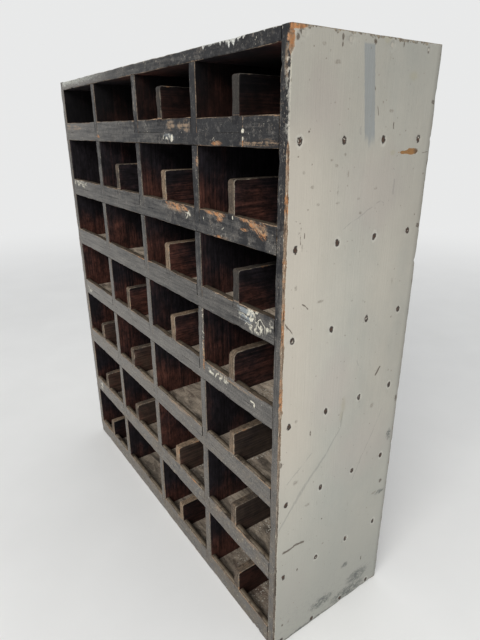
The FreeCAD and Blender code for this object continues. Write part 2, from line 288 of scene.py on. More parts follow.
def wear_arrises(points, faces, arrises, wear, rng, scale=1.0, knocks=()):
    """Rub and bruise each of the given arrises of a board; the knocks are in the first one."""
    for number, (first, second) in enumerate(arrises):
        axis = 3 - SIDES[first][0] - SIDES[second][0]
        radius = rubbed_radius(points[:, axis].copy(), wear, rng, scale, () if number else knocks)
        ease(points, faces[first], faces[second], radius)


def sink_nails(points, faces, side, nails, rng):
    """Press a pit of its own kind into a face round each nail; return each point's distance from a nail."""
    axis = SIDES[side][0]
    flat = np.delete(points, axis, axis=1)
    outside = faces[side].distance < 1e-6
    nearest = np.ones(len(points))
    for nail in nails:
        away = np.hypot(*(flat - nail).T)
        share = np.clip(1 - away / NAIL_PIT_REACH, 0, 1)
        deep = NAIL_PIT_DEEP * rng.uniform(0.6, 1.4) * share ** 0.5 * outside
        points += faces[side].inward * deep[:, None]
        aside = nail + np.array([rng.uniform(-1, 1), rng.uniform(-1, 1)]) * MM
        nearest = np.minimum(nearest, np.hypot(*(flat - aside).T) * rng.uniform(0.85, 1.6))
    return np.where(faces[side].distance < 2 * MM, nearest, 1.0)


def nail_marks(places):
    """Mesh lines close round nails at the given places."""
    return [place + offset * MM for place in places for offset in (-4.6, -3.2, -1.6, 0, 1.6, 3.2, 4.6)]


def make_piece(node, slot, points, quads, finish, **fields):
    """A piece of the object that stands for a node, with named values at its points."""
    piece_mesh = bpy.data.meshes.new(f"aged_{node}")
    piece_mesh.from_pydata(points.tolist(), [], quads.tolist())
    piece_mesh.shade_smooth()
    piece_mesh.set_sharp_from_angle(angle=math.radians(50))
    for name, values in fields.items():
        layer = piece_mesh.attributes.new(name, "FLOAT", "POINT")
        layer.data.foreach_set("value", np.broadcast_to(values, len(points)).astype(np.float32))
    piece_mesh.materials.append(finish)
    piece = bpy.data.objects.new(f"aged_{node}", piece_mesh)
    bpy.context.scene.collection.objects.link(piece)
    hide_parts(node)
    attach(piece, "root")
    return piece


def dress_node(node, finish, width):
    """Give a construction node its finish and softened edges."""
    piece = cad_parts[node]
    piece.data.materials.clear()
    piece.data.materials.append(finish)
    bevel = piece.modifiers.new("softened", "BEVEL")
    bevel.width = width
    bevel.segments = 2
    bevel.limit_method = "ANGLE"
    bevel.angle_limit = math.radians(40)
    bevel.harden_normals = True
    return piece


def worn_board(node, slot, finish, wear, rulers, filled, arrises, wavers, scale=1.0, pits=None, **fields):
    """A board cut from a grid: its nails sunk, its arrises rubbed, its front edges wandering."""
    points, quads = grid_solid(rulers, filled)
    faces = box_faces(points, *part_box(node))
    values = {name: measure(points, faces) for name, measure in fields.items()}
    rng = draws(wear, node)
    if pits:
        sink_nails(points, faces, *pits, rng)
    wear_arrises(points, faces, arrises, wear, rng, scale, KNOCKS.get((node, "front"), ()))
    for side, amount in wavers:
        waver(points, faces, side, "front", amount * MM, rng)
    return make_piece(node, slot, points, quads, finish, **values)


def above_floor(points):
    """How far each point is above the floor of its own compartment."""
    floors = [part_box(n)[1].z for n in ["base_board"] + SHELVES]
    rise = points[:, 2][:, None] - np.array(floors)
    return np.min(np.where(rise >= 0, rise, 1.0), axis=1)


def waver(points, faces, first, second, amount, rng):
    """Let the arris between two faces wander a little into the first face, as on boards sawn by hand."""
    axis = 3 - SIDES[first][0] - SIDES[second][0]
    along = points[:, axis].copy()
    push = amount * (0.6 + 0.5 * ripple(along, rng, 0.07))
    share = (np.clip(1 - faces[first].distance / (8 * MM), 0, 1)
             * np.clip(1 - faces[second].distance / (20 * MM), 0, 1))
    points += faces[first].inward * (np.clip(push, 0, None) * share)[:, None]


def draws(wear, name):
    """Random draws of a piece's own, the same in every run."""
    return random.Random(f"{wear.seed} {name}")


def solid_box(x, y, z):
    """A board without a slot or a rebate."""
    return np.ones_like(x, bool)


# ---------------------------------------------------------------- finishes

class Finish:
    """A procedural material being mixed: every method adds a node or two and returns what comes out."""

    def __init__(self, name, specular=0.2):
        self.material = bpy.data.materials.new(name)
        self.material.use_nodes = True
        self.tree = self.material.node_tree
        self.tree.nodes.clear()
        self.surface = self.tree.nodes.new("ShaderNodeBsdfPrincipled")
        self.surface.inputs["Specular IOR Level"].default_value = specular
        output = self.tree.nodes.new("ShaderNodeOutputMaterial")
        self.tree.links.new(self.surface.outputs[0], output.inputs["Surface"])
        self.place = self.tree.nodes.new("ShaderNodeTexCoord").outputs["Object"]
        self.spot = self.vector("ADD", self.place, (0, 0, 0))
        self.x, self.y, self.z = self.split(self.spot)
        self.depth = self.math("SUBTRACT", self.y, FRONT)
        self.bent = []
        self.colour = (0.5, 0.5, 0.5)
        self.roughness = 0.6
        self.height = 0.0

    def feed(self, socket, value):
        if isinstance(value, bpy.types.NodeSocket):
            self.tree.links.new(value, socket)
        elif hasattr(value, "__len__"):
            size = len(socket.default_value)
            socket.default_value = (tuple(value) + (1.0,))[:size]
        else:
            socket.default_value = value

    def split(self, vector):
        node = self.tree.nodes.new("ShaderNodeSeparateXYZ")
        self.feed(node.inputs[0], vector)
        return node.outputs

    def normal(self):
        return self.split(self.tree.nodes.new("ShaderNodeNewGeometry").outputs["Normal"])

    def field(self, name):
        """A value stored at the mesh's points."""
        node = self.tree.nodes.new("ShaderNodeAttribute")
        node.attribute_name = name
        return node.outputs["Fac"]

    def math(self, operation, *values):
        node = self.tree.nodes.new("ShaderNodeMath")
        node.operation = operation
        for socket, value in zip(node.inputs, values):
            self.feed(socket, value)
        return node.outputs[0]

    def vector(self, operation, first, second):
        node = self.tree.nodes.new("ShaderNodeVectorMath")
        node.operation = operation
        self.feed(node.inputs[0], first)
        self.feed(node.inputs["Scale" if operation == "SCALE" else 1], second)
        return node.outputs["Value" if operation in ("LENGTH", "DISTANCE", "DOT_PRODUCT") else "Vector"]

    def add(self, *values):
        total = values[0]
        for value in values[1:]:
            total = self.math("ADD", total, value)
        return total

    def times(self, *values):
        total = values[0]
        for value in values[1:]:
            total = self.math("MULTIPLY", total, value)
        return total

    def most(self, *values):
        total = values[0]
        for value in values[1:]:
            total = self.math("MAXIMUM", total, value)
        return total

    def less(self, first, second):
        return self.math("SUBTRACT", first, second)

    def without(self, first, second):
        """The first mask where the second isn't."""
        return self.times(first, self.less(1.0, second))

    def change(self, interpolation, value, low, high, start, end):
        node = self.tree.nodes.new("ShaderNodeMapRange")
        node.interpolation_type = interpolation
        node.clamp = False
        for socket, given in zip(node.inputs, (value, low, high, start, end)):
            self.feed(socket, given)
        return node.outputs[0]

    def step(self, value, low, high, start=0.0, end=1.0):
        """A smooth step from start to end as the value goes from low to high."""
        return self.change("SMOOTHSTEP", value, low, high, start, end)

    def spread(self, value, low, high, start=0.0, end=1.0):
        """A straight change from start to end as the value goes from low to high."""
        changed = self.change("LINEAR", value, low, high, start, end)
        node = self.tree.nodes.new("ShaderNodeClamp")
        node.clamp_type = "RANGE"
        for socket, given in zip(node.inputs, (changed, start, end)):
            self.feed(socket, given)
        return node.outputs[0]

    def mapped(self, place, stretch, shift=0.0, lean=0.0):
        """The place leant over in the front's plane, stretched and moved on, for a texture to be read at."""
        for turn, scale, move in ((lean, (1, 1, 1), 0.0), (0.0, stretch, shift)):
            if turn or scale is stretch:
                node = self.tree.nodes.new("ShaderNodeMapping")
                self.feed(node.inputs["Vector"], place)
                node.inputs["Rotation"].default_value = (0, turn, 0)
                node.inputs["Scale"].default_value = scale
                node.inputs["Location"].default_value = (move, move * 0.7, move * 1.3)
                place = node.outputs[0]
        return place

    def noise(self, stretch, detail=4.0, roughness=0.55, distortion=0.0, shift=0.0, lean=0.0):
        """Noise with so many lumps to the metre, each way or along x, y and z."""
        if not isinstance(stretch, tuple):
            stretch = (stretch,) * 3
        place = self.mapped(self.place, stretch, shift, lean)
        node = self.tree.nodes.new("ShaderNodeTexNoise")
        self.feed(node.inputs["Vector"], place)
        for name, value in (("Scale", 1.0), ("Detail", detail), ("Roughness", roughness),
                            ("Distortion", distortion)):
            self.feed(node.inputs[name], value)
        return node.outputs["Fac"]

    def warped(self, finely=True):
        """The place, pushed about slowly by a few millimetres, and finely too."""
        if not self.bent:
            spot = self.spot
            for per_metre, push in ((45, 7 * MM), (400, 2.4 * MM)):
                node = self.tree.nodes.new("ShaderNodeTexNoise")
                self.feed(node.inputs["Vector"], self.place)
                node.inputs["Scale"].default_value = per_metre
                node.inputs["Detail"].default_value = 1.0
                centred = self.vector("SUBTRACT", node.outputs["Color"], (0.5, 0.5, 0.5))
                spot = self.vector("ADD", spot, self.vector("SCALE", centred, push))
                self.bent.append(spot)
        return self.bent[1 if finely else 0]

    def cells(self, per_metre, stretch=(1, 1, 1)):
        """Cells of a Voronoi pattern: the distance from the middle of each, and a chance of its own."""
        place = self.mapped(self.warped(), stretch)
        node = self.tree.nodes.new("ShaderNodeTexVoronoi")
        self.feed(node.inputs["Vector"], place)
        self.feed(node.inputs["Scale"], per_metre)
        chance = self.tree.nodes.new("ShaderNodeSeparateColor")
        self.feed(chance.inputs[0], node.outputs["Color"])
        return node.outputs["Distance"], chance.outputs[0]

    def specks(self, per_metre, share, size, stretch=(1, 1, 1)):
        """Small dots: a share of the cells hold one."""
        distance, chance = self.cells(per_metre, stretch)
        return self.times(self.step(distance, size, size * 0.6), self.step(chance, 1 - share, 1.01 - share))

    def veins(self, stretch, wide, shift=0.0, lean=0.0, detail=2.0):
        """Thin wandering lines, where a noise passes its middle value."""
        wander = self.noise(stretch, detail=detail, distortion=0.7, shift=shift, lean=lean)
        return self.step(self.math("ABSOLUTE", self.less(wander, 0.5)), wide, wide * 0.3)

    def by_height(self, low, high, start=0.0, end=1.0):
        return self.step(self.z, low, high, start, end)

    def by_depth(self, low, high, start=0.0, end=1.0):
        return self.step(self.depth, low, high, start, end)

    def near(self, value, middle, reach):
        """1 where the value is the middle one, down to 0 as it gets as far off as the reach."""
        return self.step(self.math("ABSOLUTE", self.less(value, middle)), reach, 0.0)

    def frayed(self, value, wobble, reach):
        """The value, pushed up and down by a noise."""
        return self.add(value, self.spread(wobble, 0.2, 0.8, -reach, reach))

    def patch(self, centre, reach, wobble, ragged=0.8, soft=0.12):
        """A ragged oval round a centre, in metres; wobble is the noise that frays its rim."""
        scaled = self.vector("DIVIDE", self.vector("SUBTRACT", self.spot, centre), reach)
        away = self.vector("LENGTH", scaled, (0, 0, 0))
        return self.step(self.frayed(away, wobble, ragged * 0.6), 1 + soft, 1 - soft)

    def patches(self, places, wobble, ragged=0.8, soft=0.12):
        """All the ovals of a list of centres and reaches as one mask, gathered one by one."""
        mask = 0.0
        for centre, reach in places:
            mask = self.most(mask, self.patch(centre, reach, wobble, ragged, soft))
        return mask

    def stroke(self, start, end, half_wide, wobble):
        """A scratch from start to end."""
        along = [b - a for a, b in zip(start, end)]
        square = sum(part * part for part in along)
        from_start = self.vector("SUBTRACT", self.warped(finely=False), start)
        share = self.spread(self.vector("DOT_PRODUCT", from_start, along), 0, square)
        closest = self.vector("SCALE", along, share)
        away = self.vector("DISTANCE", from_start, closest)
        frayed = self.add(away, self.spread(wobble, 0.3, 0.7, -half_wide * 0.6, half_wide * 0.6))
        return self.step(frayed, half_wide * 1.25, half_wide * 0.55)

    def mix(self, amount, under, over):
        node = self.tree.nodes.new("ShaderNodeMix")
        node.data_type = "RGBA"
        self.feed(node.inputs["Factor"], amount)
        self.feed(node.inputs["A"], under)
        self.feed(node.inputs["B"], over)
        return node.outputs["Result"]

    def over(self, under, colour, *masks):
        """A colour laid over another where all the masks are 1."""
        return self.mix(self.times(*masks), under, colour)

    def tint(self, colour, value, darkest, lightest, low=0.25, high=0.75):
        """The colour, made darker or lighter as the value goes from low to high."""
        strength = self.spread(value, low, high, darkest, lightest)
        node = self.tree.nodes.new("ShaderNodeMix")
        node.data_type = "RGBA"
        node.clamp_factor = False
        self.feed(node.inputs["Factor"], strength)
        self.feed(node.inputs["A"], (0, 0, 0))
        self.feed(node.inputs["B"], colour)
        return node.outputs["Result"]

    def coat(self, mask, colour, roughness=None, height=0.0):
        """Lay a colour over what is there, where the mask is 1."""
        self.colour = self.mix(mask, self.colour, colour)
        if roughness is not None:
            self.roughness = self.spread(mask, 0, 1, self.roughness, roughness)
        if height:
            self.height = self.add(self.height, self.times(mask, height))

    def finished(self, distance=1 * MM):
        """Connect colour, roughness and height, and hand over the material."""
        self.feed(self.surface.inputs["Base Color"], self.colour)
        self.feed(self.surface.inputs["Roughness"], self.roughness)
        bump = self.tree.nodes.new("ShaderNodeBump")
        bump.inputs["Distance"].default_value = distance
        self.feed(bump.inputs["Height"], self.height)
        self.feed(self.surface.inputs["Normal"], bump.outputs[0])
        return self.material


# Colours of dirt and wear, apart from the paints and stains that a user would change.
# Paint on the front edges:
TAR = (0.010, 0.010, 0.012)
LOW_BROWN = (0.135, 0.108, 0.078)
LOW_OLIVE = (0.31, 0.25, 0.18)
LOW_DARK = (0.065, 0.054, 0.050)
DULL_FLECK = (0.19, 0.155, 0.125)
BLUISH_SMEAR = (0.34, 0.39, 0.42)
FLAKE = (0.40, 0.385, 0.34)
# Marks on the sides, and the warm grey of a painted highlight:
PINK_GREY = (0.460, 0.405, 0.368)
PAINTED_HIGHLIGHT_GREY = (0.57, 0.50, 0.42)
OLIVE_GREY = (0.33, 0.30, 0.20)
BLUE_GREY = (0.243, 0.255, 0.252)
SCUFF = (0.088, 0.096, 0.090)
FOOT_GREY = (0.20, 0.205, 0.20)
BROWN_DASH = (0.19, 0.165, 0.13)
BROWN_DOT = (0.15, 0.115, 0.085)
PALE_DOT = (0.60, 0.58, 0.52)
FAINT_GREY = (0.15, 0.15, 0.145)
SMUDGE = (0.17, 0.145, 0.115)
SCRATCH = (0.075, 0.052, 0.036)
CRACKED_PAINT = (0.56, 0.545, 0.485)
NAIL_RIM = (0.050, 0.040, 0.034)
# Wood that shows at the edges of the sides:
STRIP_TAN = (0.27, 0.195, 0.135)
STRIP_GREY = (0.215, 0.178, 0.142)
STRIP_DIRT = (0.060, 0.042, 0.031)
CHALK = (0.47, 0.45, 0.40)
OCHRE = (0.27, 0.135, 0.045)
OCHRE_END = (0.07, 0.045, 0.028)
BRUISE = (0.12, 0.07, 0.042)
EDGE_DARK = (0.085, 0.065, 0.045)
EDGE_TAN = (0.27, 0.20, 0.12)
RAW_END = (0.17, 0.125, 0.082)
# Top, shelves, lips and low partitions:
OLD_CHARCOAL = (0.055, 0.054, 0.052)
WHITE_RUN = (0.60, 0.60, 0.56)
CHALKED = (0.43, 0.44, 0.40)
GRIT = (0.50, 0.47, 0.41)
CRUMB = (0.62, 0.58, 0.50)
DARK_GRIT = (0.03, 0.024, 0.02)
LIP_TAN = (0.225, 0.185, 0.135)
OPEN_JOINT = (0.008, 0.007, 0.006)
SCRAPED = (0.062, 0.044, 0.032)
BRIGHT_ARRIS = (0.29, 0.25, 0.195)
# Back and nails:
DRY_DARK = (0.105, 0.072, 0.046)
DRY_PALE = (0.23, 0.18, 0.125)
CRACK = (0.022, 0.015, 0.011)
SEAM_DIRT = (0.014, 0.011, 0.009)
KNOT = (0.045, 0.022, 0.012)
WATER_STAIN = (0.05, 0.043, 0.037)
RUST_RUN = (0.026, 0.016, 0.011)
DAMP = (0.035, 0.028, 0.022)
FRESH_RUST = (0.10, 0.05, 0.028)


def part_place(from_left, from_front, from_floor):
    """A point given in millimetres from the left, the front and the floor."""
    return (LOW.x + from_left * MM, FRONT + from_front * MM, from_floor * MM)


# Places where the paint is off or something sticks to it: (from the left, from the front, from the
# floor), then how far it reaches each way, all in millimetres.
FRONT_BARE = [
    ((252, 0, 966), (9, 5, 3)), ((783, 0, 958.5), (14, 5, 3)), ((957.5, 0, 1087), (4, 6, 16)),
    ((777, 0, 848), (27, 6, 4)), ((788, 0, 840), (9, 6, 7)), ((870, 0, 849), (20, 6, 4)),
    ((888, 0, 843), (18, 6, 7)), ((905, 0, 836), (12, 6, 9)), ((860, 0, 833), (9, 6, 2)),
    ((788, 0, 810), (18, 5, 3)),
    ((722, 0, 930), (3, 5, 6)), ((857, 0, 962), (1.4, 5, 6)), ((268, 0, 620), (5, 5, 6)),
    ((640, 0, 845), (40, 5, 6)), ((722, 0, 560), (3, 5, 30)),
]
FRONT_TAN = [
    ((632, 0, 986), (14, 5, 10)), ((667, 0, 986), (9, 5, 6)), ((690, 0, 987), (13, 5, 11)),
    ((36, 0, 988), (18, 5, 10)), ((600, 0, 385), (60, 5, 6)), ((640, 0, 843), (44, 5, 9)),
    ((860, 0, 212), (40, 5, 7)), ((770, 0, 210), (30, 5, 6)), ((430, 0, 380), (40, 5, 6)),
    ((897, 0, 961), (44, 5, 5)), ((820, 0, 545), (50, 5, 4)), ((100, 0, 985), (30, 5, 7)),
    ((956, 0, 1056), (8, 5, 20)), ((857, 0, 990), (1.3, 5, 9)),
]
FRONT_SCRIBBLES = [
    ((610, 0, 968), (22, 5, 5)), ((892, 0, 692), (40, 5, 20)), ((776, 0, 541), (37, 5, 8)),
    ((48, 0, 528), (22, 5, 10)), ((683, 0, 834), (9, 5, 8)),
    ((742, 0, 835), (7, 5, 4)), ((799, 0, 832), (4, 5, 7)), ((52, 0, 196), (12, 5, 15)),
    ((723, 0, 610), (3.5, 5, 50)),
    ((80, 0, 842), (50, 5, 9)),
]
FRONT_SMEARS = [((866, 0, 698), (20, 5, 17)), ((622, 0, 966), (20, 5, 6))]
FRONT_DABS = [((634, 0, 965), (5, 5, 6)), ((884, 0, 536.5), (5, 5, 1.7)), ((890, 0, 532), (2, 5, 4)),
              ((857, 0, 977), (3, 5, 3)), ((747, 0, 538), (6, 5, 2.4)), ((857, 0, 966), (1.5, 5, 3)),
              ((828.6, 0, 847.3), (1.5, 5, 3)), ((57, 0, 203), (5, 5, 5))]
FRONT_GAPS = [((540, 0, 974), (64, 5, 3)), ((940, 0, 376), (3, 5, 16)), ((705, 0, 540), (3, 5, 14)),
              ((705, 0, 378), (3, 5, 14)), ((240, 0, 985), (3, 5, 12)), ((940, 0, 200), (3, 5, 14))]
# Crumbs of paint and plaster lying on the shelves.
CRUMBS = [
    ((830, 70, 365), (6, 55, 5)), ((880, 150, 365), (60, 30, 5)), ((840, 90, 192), (30, 50, 5)),
    ((860, 60, 20), (50, 40, 5)), ((760, 120, 20), (40, 60, 5)), ((600, 90, 345), (60, 40, 5)),
    ((590, 40, 192), (10, 30, 5)), ((640, 90, 192), (30, 50, 5)), ((880, 60, 529), (40, 40, 5)),
]
# The outsides of the two sides, from the left.
LEFT_OUT, RIGHT_OUT = 0, 960
# Marks on the right side, by depth and height, with their reach each way.
SIDE_BARE = [(0, 1088, 7, 17), (10, 1101, 17, 7), (258, 945.5, 16, 4.6), (240, 944.5, 12, 2.4)]
SIDE_SPOTS = [
    (17, 1092, 3.5, 3.5), (11, 1085, 3, 4), (89, 1091, 2, 4), (89, 1083, 1.2, 3), (152, 1091, 3, 3.4),
    (213, 1093, 1.4, 3.5), (272, 1089, 1.6, 4.5), (0.5, 1037, 2, 5), (0.5, 985, 1.6, 6), (70, 487, 1.6, 5),
    (5, 448, 3, 5), (282, 286, 4.4, 4.6), (113, 275, 2, 2), (55, 180, 2, 3.4), (22, 52, 2.4, 3),
    (299, 1018, 4, 3), (299, 823, 4, 4), (299, 480, 3, 6), (246, 92, 1.6, 6), (36, 976, 1.4, 1.6),
]
SIDE_SMUDGES = [
    (56, 1081, 3, 2), (30, 923, 2.4, 2.4), (117, 917, 1.5, 5), (92, 930, 3.4, 2), (108, 945, 2.4, 2),
    (82, 938, 2.4, 1.6), (47, 903, 3.4, 2), (181, 893, 3.6, 1.6), (143, 880, 2.4, 1.6), (60, 878, 3, 1.8),
    (100, 877, 3.8, 1.6), (8, 698, 2.4, 3), (23, 759, 2.4, 3.4), (255, 663, 2.4, 1.8), (121, 208, 2.6, 2),
    (82, 1062, 5, 2.4), (200, 1004, 4, 2), (190, 512, 3, 5), (228, 488, 4, 5), (36, 524, 3, 3),
    (75, 728, 7, 2), (72, 330, 5, 3), (265, 262, 8, 3), (40, 395, 6, 4), (150, 858, 3, 2),
]
SIDE_PINK = [(48, 115, 28, 70), (120, 560, 46, 60), (215, 400, 72, 60), (185, 885, 70, 55),
             (60, 1010, 40, 40)]
SIDE_SCUFFS = [
    (131, 40, 28, 12), (212, 16, 45, 14), (238, 46, 28, 15), (272, 9, 3.4, 9), (290, 398, 6, 11),
    (283, 257, 12, 5), (194, 104, 9, 6), (90, 2, 66, 5),
]
SIDE_OLIVE = [(148, 516, 5, 15), (177, 1096, 6, 5), (243, 1053, 9, 6), (213, 945, 6, 4), (145, 495, 4, 12)]
# Scratches there: from and to by depth and height, and half the width.
SIDE_SCRATCHES = [
    (18, 244.5, 44, 245.5, 3.0), (44, 246.5, 68, 244, 2.8),
    (158, 1038, 164, 1020, 0.6), (164, 1020, 172, 998, 0.7), (275, 943, 300, 943, 0.5),
    (29, 847, 29, 823, 1.0), (37, 840, 37, 832, 0.8), (39, 730, 49, 720, 1.3), (36, 725, 42, 714, 0.7),
    (5, 705, 14, 693, 1.0), (14, 693, 23, 680, 1.0), (229, 554, 239, 567, 2.0), (207, 989, 207, 980, 1.0),
]
SIDE_FAINT = [
    (115, 837, 153, 855, 0.9), (153, 855, 197, 873, 1.1), (197, 873, 203, 869, 1.0),
    (2, 300, 40, 350, 2.2), (40, 350, 63, 377, 4.2), (63, 377, 110, 423, 3.0), (20, 400, 77, 443, 1.4),
    (110, 423, 145, 470, 2.0), (145, 470, 147, 500, 1.6),
    (223, 903, 224, 882, 2.0), (137, 983, 137, 972, 1.2), (230, 1005, 238, 1005, 0.8),
    (173, 598, 178, 588, 1.2),
    (218, 922, 226, 914, 1.0), (190, 330, 260, 470, 1.2),
]
# Marks on the left side, in the same ways.
LEFT_SMUDGES = [
    (40, 1040, 5, 3), (96, 1012, 3, 4), (150, 930, 6, 2), (228, 902, 3, 3), (60, 868, 3, 5),
    (262, 760, 5, 3),
    (130, 735, 3, 2), (44, 622, 4, 3), (176, 600, 8, 2), (246, 470, 3, 5), (84, 440, 4, 2),
    (208, 300, 5, 3),
    (66, 262, 3, 3), (140, 120, 34, 20), (240, 60, 40, 22), (60, 24, 40, 12), (299, 700, 3, 8),
    (3, 410, 3, 7),
]
LEFT_SCRATCHES = [
    (60, 980, 132, 1004, 0.8), (210, 690, 250, 660, 0.9), (120, 560, 128, 520, 0.8),
    (30, 330, 96, 372, 1.0),
    (180, 236, 252, 250, 0.8), (264, 1030, 270, 1002, 0.9),
]
# Heights of the nails in the sides and in the back.
NAIL_HEIGHTS = (1090, 964, 817, 674, 519, 355, 182, 10)
BACK_NAIL_HEIGHTS = (1090, 817, 519, 10)
# Knocks in the bare strip down the front of the sides: height and reach, in metres.
STRIP_KNOCKS = [(0.842, 0.018), (0.658, 0.024), (0.553, 0.016), (0.168, 0.024)]
# White paint that ran down over the front of the top board, and flaked paint on the right side's front.
PAINT_RUNS = [((40, 0, 1100), (60, 9, 60)), ((767, 0, 1100), (18, 9, 60)), ((832, 0, 1100), (34, 9, 60))]
SIDE_FLAKES = [((966, 0, 1046), (16, 5, 44)), ((966, 0, 985), (14, 5, 20))]


def on_side(spots, across=RIGHT_OUT):
    """Centres and reaches of marks on one side, in metres from the origin."""
    return [(part_place(across, depth, height), (6 * MM, wide * MM, high * MM))
            for depth, height, wide, high in spots]


def from_lines(finish, value, first, apart):
    """How far each point is from the nearest of evenly spaced lines."""
    return finish.math("PINGPONG", finish.less(value, first), apart / 2)


def from_nails(finish, across, heights):
    """How far each point is from the nearest nail, counting a little less up and down."""
    off = 1.0
    for height in heights:
        off = finish.math("MINIMUM", off, finish.math("ABSOLUTE", finish.less(finish.z, height * MM)))
    off = finish.times(off, 0.73)
    return finish.math("SQRT", finish.add(finish.times(across, across), finish.times(off, off)))


def strokes(finish, scratches, fray, across=RIGHT_OUT):
    """All the scratches of a list on one side as one mask, gathered one by one."""
    mask = 0.0
    for depth_1, height_1, depth_2, height_2, half in scratches:
        start, end = part_place(across, depth_1, height_1), part_place(across, depth_2, height_2)
        mask = finish.most(mask, finish.stroke(start, end, half * MM, fray))
    return mask


def in_frame(places):
    """The listed places and reaches, in metres from the origin."""
    return [(part_place(*centre), tuple(r * MM for r in reach)) for centre, reach in places]


def touching(places, nodes):
    """Those of the listed places that reach one of the nodes."""
    found = []
    for centre, reach in in_frame(places):
        for node in nodes:
            low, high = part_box(node)
            if all(low[n] - reach[n] < centre[n] < high[n] + reach[n] for n in range(3)):
                found.append((centre, reach))
                break
    return found


def grain_stretch(along, cross, lengthwise):
    """So many lumps to the metre across the grain and along it."""
    stretch = [cross, cross, cross]
    stretch[along] = lengthwise
    return tuple(stretch)


def bare_wood(finish, colours, along):
    """Softwood, fresh orange where it was just chipped and dull tan where it has aged."""
    rings = finish.noise(grain_stretch(along, 260, 9), detail=3, distortion=0.6, shift=3)
    dirt = finish.noise(75, detail=5, roughness=0.7, shift=5)
    wood = finish.mix(finish.step(dirt, 0.40, 0.62), colours.bare, colours.rubbed)
    return finish.tint(wood, rings, 0.55, 1.35)


def stained_wood(finish, colours, along, above):
    """The dark inside: stain worn thin in clouds and along the grain, lighter towards the front, redder and
    lighter low down (partly stain worn thin, partly painted bounce light), and darker high in the top row
    (painted shade).
    """
    step, times, noise, tint, add = finish.step, finish.times, finish.noise, finish.tint, finish.add
    clouds = noise(grain_stretch(along, 15, 8), detail=5, roughness=0.65, shift=11)
    broad = noise((3.7, 3.7, 4.3), detail=1, shift=13)
    mottle = noise(48, detail=5, roughness=0.7, shift=15)
    grain = noise(grain_stretch(along, 230, 5), detail=4, distortion=1.1, shift=17)
    fibre = noise(grain_stretch(along, 900, 22), detail=2, shift=23)
    near = finish.spread(finish.depth, 0.0, 0.16, 0.10, -0.10)
    uneven = add(times(clouds, 0.8), times(grain, 0.25), times(mottle, 0.2))
    thin = add(uneven, near, finish.spread(broad, 0.3, 0.7, -0.22, 0.20))
    # Redder and lighter within 11 cm of each floor: partly stain worn thin, partly painted bounce light.
    if above is not None:
        thin = add(thin, step(above, 0.11, 0.0, -0.05, 0.24))
    wood = finish.mix(step(thin, 0.66, 1.06), colours.stain, colours.red_stain)
    # Painted shade: the wood darkens high in the top row of compartments.
    if above is not None:
        top_row_shade = times(finish.by_height(0.955, 0.985), step(above, 0.0, 0.045, 0.55, 1.0))
        wood = tint(wood, top_row_shade, 1.0, 0.30, 0, 1)
    wood = tint(wood, grain, 0.50, 1.55, 0.32, 0.68)
    wood = tint(wood, mottle, 0.45, 1.6, 0.3, 0.7)
    pores = noise(grain_stretch(along, 330, 60), detail=4, roughness=0.7, distortion=0.4, shift=19)
    wood = tint(wood, pores, 0.45, 1.25, 0.38, 0.50)
    return tint(wood, fibre, 0.75, 1.25), grain, fibre


